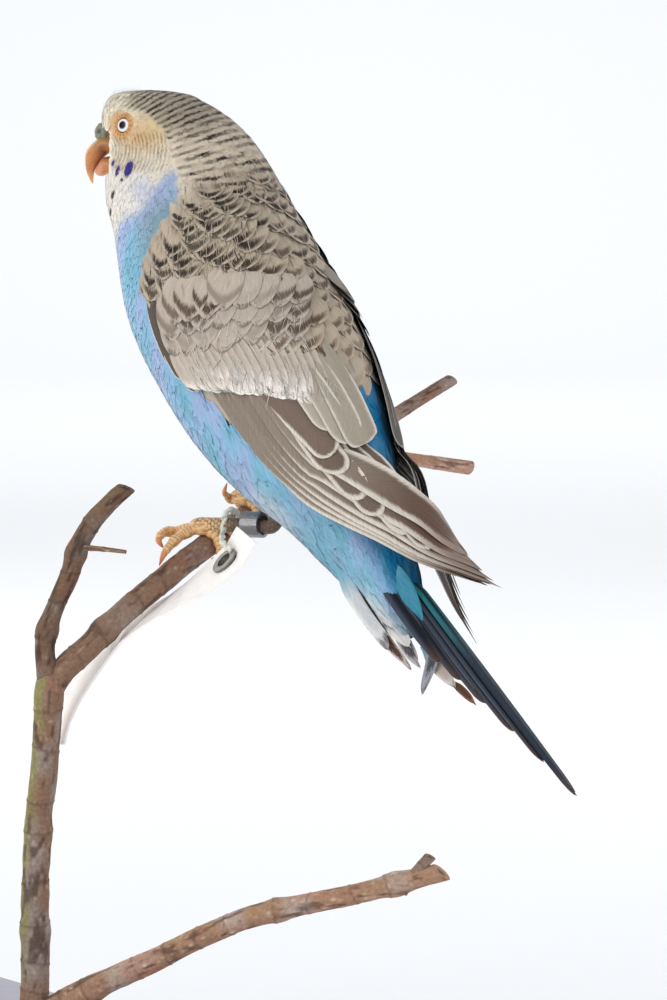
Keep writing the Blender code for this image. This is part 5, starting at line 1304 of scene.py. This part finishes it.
def makeHeadPieces():
    # Bill, cere lobes, eyes and lids, each set by the head's own forward, left and rise
    makeBill("upper", 60, 40)
    makeBill("lower", 30, 28)
    # Cere: two rounded lobes over the bill's root, dented round each nostril
    v, u = np.meshgrid(np.linspace(0, math.pi, 25), circle(36), indexing="ij")
    for side, name in ((1, "Left"), (-1, "Right")):
        way = np.stack([np.cos(v), np.sin(v) * np.cos(u), np.sin(v) * np.sin(u)], -1)
        lump = 1 + 0.05 * np.sin(7 * u + 3 * v) * np.sin(v) + 0.04 * np.sin(11 * v - 2 * u) * np.sin(v)
        nostril = unit(np.array(head["nostril"]) * (1, side, 1))
        hole = bump(np.linalg.norm(way - nostril, axis=-1), 0.0, head["nostrilWide"])
        reach = way * np.array(head["cereSize"]) * (lump * (1 - 0.42 * hole))[..., None]
        reach = reach + np.array(head["cereAt"]) * (1, side, 1)
        places = inHead(reach[..., 0], reach[..., 1], reach[..., 2])
        hole = np.concatenate([hole[1:-1].ravel(), [0.0, 0.0]])
        # The dent round each nostril is painted darker: painted shade of the opening
        tint = paint(billTones, "cere", ("cereDark", np.clip(hole * 1.4, 0, 1)))
        makePiece("cereLobe" + name, closeBall(places), tubeFaces(23, 36), waxPaint,
                  tint=tint, instead="cere" if side > 0 else "")
    # Eyes: a ball with white iris and dark pupil, in a ring of small orange beads
    for side, name in ((1, "left"), (-1, "right")):
        start = inHead(head["eyeAt"][0], 0.0, head["eyeAt"][1])
        hit, normal = bodyTree.ray_cast(Vector(start), Vector(headLeft * side))[:2]
        out = np.array(normal) * np.sign(np.array(normal) @ headLeft * side)
        out = unit(out * 0.75 + headLeft * side * 0.25)
        at = np.array(hit)
        first = unit(np.cross(out, skyward))
        second = np.cross(first, out)
        cap = np.linspace(0, math.pi, 40)
        around = circle(48)
        ball = (out * np.cos(cap)[:, None, None]
                + (first * np.cos(around)[:, None] + second * np.sin(around)[:, None]) * np.sin(cap)[:, None, None])
        places = at - out * head["sunk"] * mm + ball * head["ball"] * mm
        far = np.degrees(cap)[1:-1, None] * np.ones((1, 48))
        iris = paint(billTones, "iris", ("lidRim", ramp(*head["iris"], far)))
        streaks = 1 - 0.12 * ramp(0.2, 1.0, np.sin(around * 23) * np.sin(around * 7 + 1))[None, :, None]
        tint = blend(iris * streaks, billTones["pupil"], ramp(*head["pupil"], far))
        tint = np.vstack([tint.reshape(-1, 3), billTones["pupil"][None], billTones["lidRim"][None]])
        makePiece(name + "Eye", closeBall(places), tubeFaces(38, 48), glassPaint,
                  tint=tint, instead="eye_" + name)
        # Lid: height over the skin by radius, with beads and folds round it, taller than wide
        turn = circle(96)
        share = np.linspace(0.0, 1.0, 22)
        radius = np.linspace(*head["lid"], 22)
        beads = 0.5 + 0.5 * np.cos(turn * head["beads"])
        waver = 0.8 * np.sin(turn * 3)[:, None]
        height = 0.5 * np.sin(math.pi * np.clip(share * 1.25 + 0.12, 0, 1)) ** 0.8 - 1.1 * ramp(0.55, 1.0, share)
        height = height[:, None] + 0.12 * beads[None] * bump(share, 0.3, 0.16)[:, None]
        height = height - 0.07 * np.cos(share * 26 + waver).T * bump(share, 0.5, 0.3)[:, None]
        spoke = first * np.cos(turn)[:, None] * head["oval"][0] + second * np.sin(turn)[:, None] * head["oval"][1]
        lidPlaces = at + spoke[None] * (radius * mm)[:, None, None] + out * (height[..., None] * mm)
        folds = 0.5 + 0.5 * np.cos(share * 22 + waver).T
        tint = paint(billTones, "lid", ("lidDark", 0.6 * (1 - beads[None]) * bump(share, 0.34, 0.3)[:, None]),
                     ("lidRim", ramp(0.1, 0.02, share)[:, None] * 0.9),
                     ("lidDark", 0.3 * folds * ramp(0.3, 0.6, share)[:, None]))
        tint = blend(tint, hues["peach"], ramp(0.35, 0.8, share)[:, None] * 0.9)
        makePiece(name + "Lid", lidPlaces, gridFaces(22, 96, loop=True), waxPaint, tint=tint)
    print("head pieces made")


makeHeadPieces()

# Branch: places in millimetres, radii, then knots as reach, swell and spread, rows, whether it is mossy, and a light
# factor of painted light and shade on the bark
branch = {
    "stem": {
        "node": "branch_stem", "route": [(19, 20, 14.3), (19.4, 20, 24), (19.6, 20, 40), (20.4, 20, 57), (21.8, 20,
        70), (22.9, 20, 85.5)], "radii": (3.1, 2.9, 2.9, 2.8, 2.8, 2.9), "knots": ((20, 0.5, 2.2), (41, 0.25, 2.5),
        (69.5, 0.3, 3)), "rows": 190, "cols": 64, "moss": 1.0, "seed": 51, "dome": True},
    "left": {
        "node": "branch_left", "route": [(23.0, 20, 80), (22.7, 20, 84.5), (21.9, 21, 91.5), (22.3, 22, 96.5), (24.4,
        23, 102.4), (26.8, 24, 107.9), (28.4, 24, 113), (31.4, 24, 118.3), (35.1, 23, 122.6), (38.6, 22, 125.7)],
        "radii": (2.5, 2.5, 2.1, 2, 1.9, 1.95, 2, 1.95, 1.8, 1.7), "knots": ((16.5, 0.5, 1.8), (33.5, 0.45, 1.8)),
        "rows": 150, "cols": 48, "moss": 0.2, "seed": 52, "slant": 0.5, "light": 0.68},
    "thin": {
        "node": "branch_twig_thin", "route": [(27.4, 23.7, 113.5), (33.2, 21.5, 113.3), (38.6, 19.5, 112.9)], "radii":
        (0.72, 0.52, 0.4), "knots": ((7.0, 0.08, 0.5),), "rows": 40, "cols": 20, "moss": 0.0, "seed": 53},
    "perch": {
        "node": "branch_perch", "route": [(22.8, 19.7, 78.5), (22.6, 19.8, 82.6), (25.3, 21, 88), (28.5, 22.5, 91),
        (32.9, 25, 95.1), (38.9, 29, 100.3), (45, 33.5, 105.2), (50, 38, 108.9), (54.5, 43, 112), (61.8, 54, 116.7),
        (73.8, 72, 123.3), (84.6, 88, 129.2), (95.1, 101, 135.6), (107.6, 115.5, 142.4)], "radii": (2.5, 2.6, 2.7,
        2.65, 2.6, 2.6, 2.55, 2.55, 2.5, 2.3, 2, 1.75, 1.55, 1.4), "knots": ((23, 0.35, 2), (109, 0.3, 2)), "rows":
        280, "cols": 52, "moss": 0.1, "seed": 54, "slant": 0.5},
    "far": {
        "node": "branch_twig_far", "route": [(81.5, 84.8, 127.9), (89.1, 94, 127.6), (96.3, 101, 125.8), (111.8, 110,
        122.9)], "radii": (1.75, 1.65, 1.5, 1.55), "knots": ((18, 0.15, 1.2),), "rows": 90, "cols": 40, "moss": 0.0,
        "seed": 55, "slant": -0.2, "light": 1.75},
    "low": {
        "node": "branch_low", "route": [(19.8, 20.2, 16), (26.8, 18.6, 20.4), (35, 16, 24.9), (43.6, 13, 29.3), (52.4,
        10.4, 34.2), (64.1, 7, 39.7), (74.2, 4.5, 42.6), (84.3, 2, 45.1), (93.4, 0, 47.7), (102.6, -2, 50.5)],
        "radii": (2.9, 2.7, 2.5, 2.35, 2.25, 2.2, 2.15, 2.05, 2.1, 1.9), "knots": ((14, 0.3, 2.5), (58, 0.35, 2), (83,
        0.5, 2.2)), "rows": 230, "cols": 48, "moss": 0.15, "seed": 56, "slant": 0.6, "light": 1.5},
    "stub": {
        "node": "branch_stub", "route": [(94.6, -0.6, 46.4), (98.2, -1.4, 51.2), (100.4, -2, 53.6)], "radii": (1.4,
        1.05, 1.15), "knots": (), "rows": 40, "cols": 28, "moss": 0.0, "seed": 57, "slant": 0.3},
}
barkTones = readTones(
    brown=(134, 104, 84), grey=(150, 138, 130), dark=(74, 54, 44), red=(146, 100, 80),
    moss=(136, 134, 84), speck=(196, 180, 160), wood=(150, 116, 92), core=(96, 66, 50),
)
# The toes' tones: the skin's tan painted darker for painted shade in the grooves and paler for painted highlights on
# the plates
skinTones = readTones(
    toe=(236, 192, 138), groove=(168, 112, 66), pad=(214, 156, 98), shank=(104, 86, 72),
    shankDark=(58, 46, 40), claw=(214, 140, 90), clawTip=(176, 100, 58), cotton=(224, 224, 210),
    cottonDark=(176, 176, 160),
)


def lattice(x, y, seed, wrap):
    # Smooth noise of -1 to 1: random values on a lattice that closes after wrap cells in y
    table = np.random.default_rng(seed).uniform(-1.0, 1.0, (64, wrap))
    i, j = np.floor(x).astype(int), np.floor(y).astype(int)
    s, t = x - i, y - j
    s, t = s * s * (3 - 2 * s), t * t * (3 - 2 * t)
    near, far = table[i % 64, j % wrap], table[(i + 1) % 64, j % wrap]
    nearBeside, farBeside = table[i % 64, (j + 1) % wrap], table[(i + 1) % 64, (j + 1) % wrap]
    return (near * (1 - s) + far * s) * (1 - t) + (nearBeside * (1 - s) + farBeside * s) * t


def tubeFrames(path, hint):
    # Directions along the path and two across it
    along = unit(np.gradient(path, axis=0))
    first = unit(np.cross(hint, along))
    return along, first, np.cross(along, first)


def domeTints(tint):  # a closed tube's tints, its end taking the last ring's
    return np.vstack([tint.reshape(-1, 3), np.tile(tint[-1], (4, 1)), tint[0, :1], tint[-1, :1]])


def closedTube(path, radii, cols, hint, slant=0.0, dome=False):
    # Rings of radius round the path, then at the far end a slanted cut or a dome, and fans at both ends
    along, first, second = tubeFrames(path, hint)
    turn = circle(cols)
    spoke = spokes(first, second, turn)
    rings = path[:, None] + spoke * radii[..., None]
    tip = radii[-1][:, None]
    tilt = along[-1] * (np.cos(turn)[:, None] * slant)
    if slant:
        near = ramp(1.0, 0.0, np.arange(len(path))[::-1] / 6.0)[:, None, None]
        rings = rings + tilt[None] * tip[None] * near
    ends = []
    for share, rise in ((0.97, 0.04), (0.86, 0.02), (0.6, -0.03), (0.3, -0.02)) if not dome else (
            (0.96, 0.28), (0.8, 0.6), (0.5, 0.86), (0.2, 0.97)):
        ends.append(path[-1] + spoke[-1] * tip * share + along[-1] * (tip * rise) + tilt * tip * share)
    rings = np.concatenate([rings, np.stack(ends)])
    away = spoke[0, 0] @ np.cross(rings[1, 0] - rings[0, 0], rings[0, 1] - rings[0, 0])
    return *closeRings(rings, flip=away > 0), spoke


barkPaint = paintMaterial("barkPaint", grain=0.22, scale=1400.0, relief=0.55, distance=0.25, roughness=0.82,
                          specular=0.25)
scalePaint = paintMaterial("scalePaint", grain=0.12, scale=1100.0, relief=0.3, roughness=0.5, specular=0.4)
cottonPaint = paintMaterial("cottonPaint", grain=0.2, scale=2600.0, relief=0.5, roughness=0.85, specular=0.2)


def makeLimb(node, route, radii, knots, rows, cols, moss, seed, slant=0.0, dome=False, light=1.0):
    # Radius = smooth radius + knots + lumps + long fibres + leaf scar rings; hollows are darker
    route = np.array(route, float)
    keys = running(route)
    reach = np.linspace(0.0, keys[-1], rows)
    path = smoothAt(keys, route, reach) * mm
    base = smoothAt(keys, np.asarray(radii, float), reach)
    for at, swell, spread in knots:
        base = base + swell * bump(reach, at, spread)
    turn = circle(cols)
    s, t = np.meshgrid(reach, turn / (2 * math.pi), indexing="ij")
    lumps = lattice(s / 4.5, t * 5, seed, 5)
    fibres = lattice(s / 3.2 + 0.5 * np.sin(t * 12), t * 17, seed + 1, 17)
    fine = lattice(s / 1.1, t * 29, seed + 2, 29)
    scars = np.zeros_like(s)
    rng = np.random.default_rng(seed)
    spots = np.arange(6.0, keys[-1] - 3.0, 8.5)
    for at in spots + rng.uniform(-2.0, 2.0, len(spots)):
        scars += bump(s + 0.5 * np.sin(t * 2 * math.pi + at), at, 0.28)
    eyes = np.zeros_like(s)
    for _ in range(int(keys[-1] / 3.2)):
        x, y = rng.uniform(2.0, keys[-1] - 1.0), rng.uniform(0.0, 1.0)
        apart = np.mod(t - y + 0.5, 1.0) - 0.5
        eyes += bump(np.hypot((s - x) / 0.42, apart * 2 * math.pi * base[:, None] / 0.3), 0.0, 1.0)
    small = base[:, None] / 2.6
    relief = (0.16 * lumps + 0.075 * fibres + 0.04 * fine) * small + 0.14 * scars * small + 0.07 * np.clip(eyes, 0, 1)
    every, faces, spoke = closedTube(path, (base[:, None] + relief) * mm, cols, np.array([0.0, 1.0, 0.1]), slant, dome)
    side = ramp(0.15, 0.75, -spoke[:, :, 0] + 0.35 * fibres) * ramp(-0.7, 0.3, lattice(s / 6.0, t * 6, seed + 5, 6))
    tint = paint(barkTones, "brown", ("grey", ramp(-0.3, 0.7, lattice(s / 7.0, t * 3, seed + 3, 3)) * 0.75),
                 ("red", ramp(0.0, 0.7, lattice(s / 9.0 + 3, t * 4, seed + 4, 4)) * 0.5), ("moss", side * moss * 0.8),
                 ("dark", ramp(-0.15, -0.85, fibres + 0.35 * fine) * 0.75), ("dark", np.clip(scars, 0, 1) * 0.45),
                 ("speck", np.clip(eyes, 0, 1) * 0.6 + ramp(0.55, 0.9, fine) * 0.25))
    # A cut end: bark's edge, two rings of wood and the core
    wood, core = barkTones["wood"], barkTones["core"]
    rings = (wood * share[:, None] for share in (1 + 0.15 * np.sin(turn * 9), 0.9 + 0.12 * np.sin(turn * 5 + 1)))
    ends = np.stack(np.broadcast_arrays(blend(barkTones["dark"], wood, 0.5), *rings, core))
    if dome:
        ends = tint[-1][None] * np.ones((4, 1, 1))
    tint = np.vstack([tint.reshape(-1, 3), ends.reshape(-1, 3), tint[0, :1], core[None]])
    # The bark's colours times the branch's light factor: painted light and shade, brighter and darker copies of one
    # bark
    tint = np.minimum(tint * light, 0.8)
    makePiece(node.replace("_", ""), every, faces, barkPaint, tint=tint, instead=node)


def perchFrame(reach):  # place, radius and the directions along, up and ahead at a reach in millimetres
    settings = branch["perch"]
    route = np.asarray(settings["route"], float)[1:]
    keys = running(route)
    place = smoothAt(keys, route, reach)
    along = unit(smoothAt(keys, route, reach + 0.5) - smoothAt(keys, route, reach - 0.5))
    up = unit(skyward - along * (skyward @ along))
    return place, float(smoothAt(keys, np.asarray(settings["radii"], float)[1:], reach)), along, up, np.cross(up, along)


# Feet: palm's reach along the perch, then each toe as reach, angle from the top towards the front
# and height over the bark
feet = {
    "left": {"palm": 50.5, "hip": (68.3, 33.6, 116.9), "toes": {
        "front_inner": [(-4, 24, 2.3), (-7.6, 18, 2.3), (-10.8, 16, 1.6), (-13.4, 14, 0.25)],
        "front_outer": [(-2.6, 50, 4), (-5.2, 48, 5.4), (-7.8, 46, 4.9), (-8.6, 46, 2.6)],
        "rear_inner": [(-0.2, -48, 1.5), (-0.5, -88, 1.35), (-1, -125, 1.2), (-1.5, -152, 0.3)],
        "rear_outer": [(3, -45, 1.6), (5, -85, 1.35), (6, -120, 1.2), (6.5, -150, 0.3)]}},
    "right": {"palm": 66.0, "hip": (77.4, 47.2, 117.6), "toes": {
        "front_inner": [(-0.8, 40, 2.3), (-1.8, 30, 3.2), (-3.2, 20, 4.6), (-2.4, 12, 6.2)],
        "front_outer": [(1.5, 50, 1.8), (3.2, 85, 1.4), (3.8, 120, 1.2), (3.8, 148, 0.3)],
        "rear_inner": [(-1, -48, 1.5), (-1.8, -88, 1.35), (-2, -125, 1.2), (-2, -152, 0.3)],
        "rear_outer": [(3.5, -45, 1.6), (5.5, -85, 1.35), (6.3, -120, 1.2), (6.6, -150, 0.3)]}},
    "palmSize": (3.1, 2.3, 1.75), "toeRadii": (1.25, 1.05, 0.85), "clawRadii": (0.72, 0.46, 0.07),
    "slim": {"left": 1.0, "right": 0.72},
    "toePlate": 0.85, "shankPlate": 0.75,
    "shankRadii": (1.7, 1.35, 1.35, 1.9), "ringAt": (64.6, 36.5, 116.9), "stringAt": (59.6, 40.3, 116.9),
}


def makeToe(name, path, radii, top, seed):
    # Radius = own radius * (1 + plates across the top + grains below + joints)
    keys = running(path)
    rows, cols = 72, 24
    reach = np.linspace(0.0, keys[-1], rows)
    line = smoothAt(keys, path, reach) * mm
    own = np.interp(reach / keys[-1], [0, 0.7, 1], radii)
    own = own * np.sqrt(np.clip(1.02 - ((reach / keys[-1] - 0.86) / 0.15).clip(0, 1) ** 2 * 0.55, 0.05, 1.2))
    _, first, second = tubeFrames(line, top)
    turn = circle(cols)
    spoke = spokes(first, second, turn)
    upper = ramp(-0.25, 0.35, spoke @ top)
    s, t = np.meshgrid(reach, turn / (2 * math.pi), indexing="ij")
    plates = np.abs(np.sin(math.pi * s / feet["toePlate"])) ** 0.6
    grains = 0.5 + 0.5 * lattice(s / 0.45, t * 14, seed, 14)
    joints = 0.09 * np.cos(s / keys[-1] * 3 * 2 * math.pi)
    relief = 1 + 0.13 * (plates - 0.6) * upper + 0.09 * (grains - 0.5) * (1 - upper) + joints
    every, faces, _ = closedTube(line, own[:, None] * relief * mm, cols, top, dome=True)
    height = plates * upper + grains * (1 - upper)
    # Darker in the grooves between plates and grains as painted shade, paler on their crowns as painted highlight; the
    # underside takes the pad's tone
    tint = paint(skinTones, "groove", ("toe", ramp(0.15, 0.75, height)), ("pad", (1 - upper) * 0.5))
    tint = tint * (1 + 0.1 * lattice(s / 1.7, t * 4, seed + 1, 4))[..., None]
    makePiece(name, every, faces, scalePaint, tint=domeTints(tint))


def makeFoot(side):
    # Toe place = perch + out at the toe's angle * (bark radius + height), joined to the palm
    settings = feet[side]
    place, radius, along, up, ahead = perchFrame(settings["palm"])
    palm = place + up * (radius + 1.8) + ahead * 0.3
    # Palm: a lumpy ball, flat below
    v, u = np.meshgrid(np.linspace(0, math.pi, 30), circle(40), indexing="ij")
    way = np.stack([np.sin(v) * np.cos(u), np.sin(v) * np.sin(u), np.cos(v)], -1)
    grains = 0.5 + 0.5 * lattice(v * 9, u / (2 * math.pi) * 22, 71, 22)
    reach = way * np.array(feet["palmSize"]) * (0.97 + 0.07 * grains)[..., None]
    places = (palm + reach[..., :1] * ahead + reach[..., 1:2] * along + reach[..., 2:] * up) * mm
    # Darker between the grains as painted shade, paler on their tops as painted highlight
    tint = closeBall(paint(skinTones, "groove", ("toe", ramp(0.1, 0.7, grains))))
    makePiece(side + "Palm", closeBall(places), tubeFaces(28, 40, flip=True), scalePaint,
              tint=tint, instead="foot_" + side)
    for number, (toe, points) in enumerate(settings["toes"].items()):
        path = [palm]
        for reach, angle, height in points:
            spot, thick, _, over, front = perchFrame(settings["palm"] + reach)
            out = over * math.cos(math.radians(angle)) + front * math.sin(math.radians(angle))
            path.append(spot + out * (thick + height))
        path = np.array(path)
        keys = np.arange(5.0)
        fine = smoothAt(keys, path, np.linspace(0.0, 4.0, 41))
        top = unit(path[2] - perchFrame(settings["palm"] + points[1][0])[0])
        slim = feet["slim"][side]
        makeToe(side + "Toe" + str(number), fine[:30], np.array(feet["toeRadii"]) * slim, top, 80 + number)
        claw = fine[27:]
        reachKeys = running(claw)
        reach = np.linspace(0.0, reachKeys[-1], 30)
        radii = np.interp(reach / reachKeys[-1], [0, 0.25, 0.6, 1], (0.62,) + feet["clawRadii"]) * slim
        every, faces, _ = closedTube(smoothAt(reachKeys, claw, reach) * mm, radii[:, None] * np.ones((1, 16)) * mm,
                                     16, top, dome=True)
        share = np.concatenate([np.repeat(reach / reachKeys[-1], 16), np.ones(64), [0.0, 1.0]])
        tint = paint(skinTones, "claw", ("clawTip", ramp(0.35, 0.9, share)))
        makePiece(side + "Claw" + str(number), every, faces, hornPaint, tint=tint,
                  instead="claw_" + side + "_" + toe)
    # Shank: six-sided plates in rows, from inside the belly to the palm
    hip = np.array(settings["hip"])
    middle = np.array(feet["ringAt"]) if side == "left" else (hip + palm) / 2
    path = np.array([hip + (bodyBack * 4.0 + bodyAlong * 2.0), hip, middle, palm])
    keys = running(path)
    rows, cols = 110, 36
    reach = np.linspace(0.0, keys[-1], rows)
    line = smoothAt(keys, path, reach) * mm
    own = np.interp(reach / keys[-1], [0, 0.35, 0.6, 1], feet["shankRadii"])
    turn = np.linspace(0, 1, cols, endpoint=False)
    s, t = np.meshgrid(reach, turn, indexing="ij")
    row = np.floor(s / feet["shankPlate"])
    cell = np.hypot((s / feet["shankPlate"] - row - 0.5) * 1.6, (np.mod(t * 9 + 0.5 * (row % 2), 1.0) - 0.5) * 1.6)
    plate = ramp(1.0, 0.55, cell)
    every, faces, _ = closedTube(line, own[:, None] * (0.98 + 0.05 * plate) * mm, cols, skyward, dome=True)
    tint = paint(skinTones, "shankDark", ("shank", plate), ("toe", ramp(0.6, 0.9, s / keys[-1]) * plate * 0.9))
    makePiece(side + "Shank", every, faces, scalePaint, tint=domeTints(tint),
              instead="leg_" + side)


# Hanging label and its string; the string is two plies that turn round each other
label = {"route": [(63.2, 25.6, 115.8), (60.6, 25.5, 111.4), (55.1, 25.7, 106.7), (44, 28.3, 99.4), (36.1, 31.8, 94),
                   (31.5, 31.7, 88.8), (27, 30.6, 82.4), (24.5, 29.6, 77.1), (23.4, 28.6, 72)],
         "across": (0.25, -0.94), "dip": (-0.22, -0.2, -0.09, 0.05, 0.03, -0.03, -0.1, -0.12, -0.12),
         "rows": 14, "eyeletRow": 1.5, "ply": 0.42, "apart": 0.3, "turns": 9}


def makeString():
    # Ply centre = loop + apart * (cos, sin)(turns * 2 pi s) in the plane across the loop
    keys = np.arange(9.0)
    at = label["eyeletRow"] / (label["rows"] - 1) * 8.0
    route = np.array(label["route"])
    centre = smoothAt(keys, route, at)
    tangent = unit(smoothAt(keys, route, at + 0.05) - smoothAt(keys, route, at - 0.05))
    side = np.array([*label["across"], float(smoothAt(keys, np.array(label["dip"]), at))])
    side = unit(side - tangent * (side @ tangent))
    out = np.cross(tangent, side)
    shank, near, turn = np.array(feet["stringAt"]), bodyLeft, 2.75
    edge = centre - side * 6.0
    loop = np.array([centre - side * 0.5, centre + out * 1.8 - side * 1.6, edge + out * 1.9,
                     shank + near * turn - skyward * 1.5, shank + near * turn * 0.8 + skyward * turn * 0.6,
                     shank + skyward * turn, shank - near * turn * 0.8 + skyward * turn * 0.6,
                     shank - near * turn - skyward * 0.8, shank - near * 1.4 - skyward * 3.4,
                     edge - out * 2.0, centre - out * 1.8 - side * 1.6])
    count = len(loop)
    wrapped = np.vstack([loop[-3:], loop, loop[:3]])
    rows, cols = 260, 14
    s = np.linspace(0.0, count, rows, endpoint=False)
    path = smoothAt(np.arange(len(wrapped)) - 3.0, wrapped, s)
    along = unit(np.roll(path, -1, axis=0) - np.roll(path, 1, axis=0))
    hub = path.mean(axis=0) - path
    first = unit(hub - along * np.sum(hub * along, axis=-1, keepdims=True))
    second = np.cross(along, first)
    spin = circle(cols)
    for ply in (0, 1):
        angle = s / count * 2 * math.pi * label["turns"] + ply * math.pi
        middle = path + (first * np.cos(angle)[:, None] + second * np.sin(angle)[:, None]) * label["apart"]
        rings = middle[:, None] + spokes(first, second, spin) * label["ply"]
        wool = lattice(s[:, None] * 9.0, spin[None] / (2 * math.pi) * 7 + s[:, None] * 2, 61 + ply, 7)
        tint = paint(skinTones, "cotton", ("cottonDark", ramp(0.1, -0.8, wool) * 0.7))
        faces = gridFaces(rows + 1, cols, loop=True) % (rows * cols)
        makePiece("stringPly" + str(ply), rings * mm, faces, cottonPaint, tint=tint,
                  instead="label_string" if ply == 0 else "")


for settings in branch.values():
    makeLimb(**settings)
for key in ("left", "right"):
    makeFoot(key)
makeString()
# The solids that stay get a grained material: grain, scale, stretch and relief, then the surface
dressed = {
    "leg_band": ("ringMetal", 0.25, 900.0, (1.0, 1.0, 3.0), 0.35, (150, 150, 152),
                 {"metallic": 0.85, "roughness": 0.34}),
    "label_eyelet": ("eyeletMetal", 0.3, 1200.0, (1.0, 1.0, 1.0), 0.3, (128, 124, 118),
                     {"metallic": 0.8, "roughness": 0.42}),
    "label": ("labelPaper", 0.05, 420.0, (1.0, 1.0, 1.0), 0.15, (255, 250, 245),
              {"roughness": 0.85, "specular": 0.15}),
    "stand_base": ("basePaint", 0.06, 300.0, (1.0, 1.0, 1.0), 0.1, (176, 174, 186), {"roughness": 0.6}),
}
for node, (name, grain, scale, stretch, relief, colour, surface) in dressed.items():
    slot = nodes[node].material_slots[0]
    slot.link = "OBJECT"
    slot.material = paintMaterial(name, grain, scale, relief, stretch=stretch, colour=tuple(tone(*colour)), **surface)
print("branch, feet and label made")

# Plain pale floor and backdrop as one swept sheet
floorMaterial, _, _ = newMaterial("floorPaper", roughness=0.9, colour=(0.925, 0.935, 0.95), specular=0.1)
sweep = np.linspace(0.0, 1.0, 60)
depthLine = np.interp(sweep, [0, 0.3, 0.7, 1.0], [-12.0, 2.6, 3.5, 3.8])
riseLine = 0.7 * ramp(0.3, 1.0, sweep)
across = np.linspace(-10.0, 10.0, 3)
floorPlaces = np.stack(np.broadcast_arrays(across[None], depthLine[:, None], riseLine[:, None]), -1)
floorMesh = bpy.data.meshes.new("floor")
floorMesh.from_pydata(floorPlaces.reshape(-1, 3), [], gridFaces(60, 3).tolist())
floorMesh.shade_smooth()
floorMesh.materials.append(floorMaterial)
floor = bpy.data.objects.new("floor", floorMesh)
scene.collection.objects.link(floor)

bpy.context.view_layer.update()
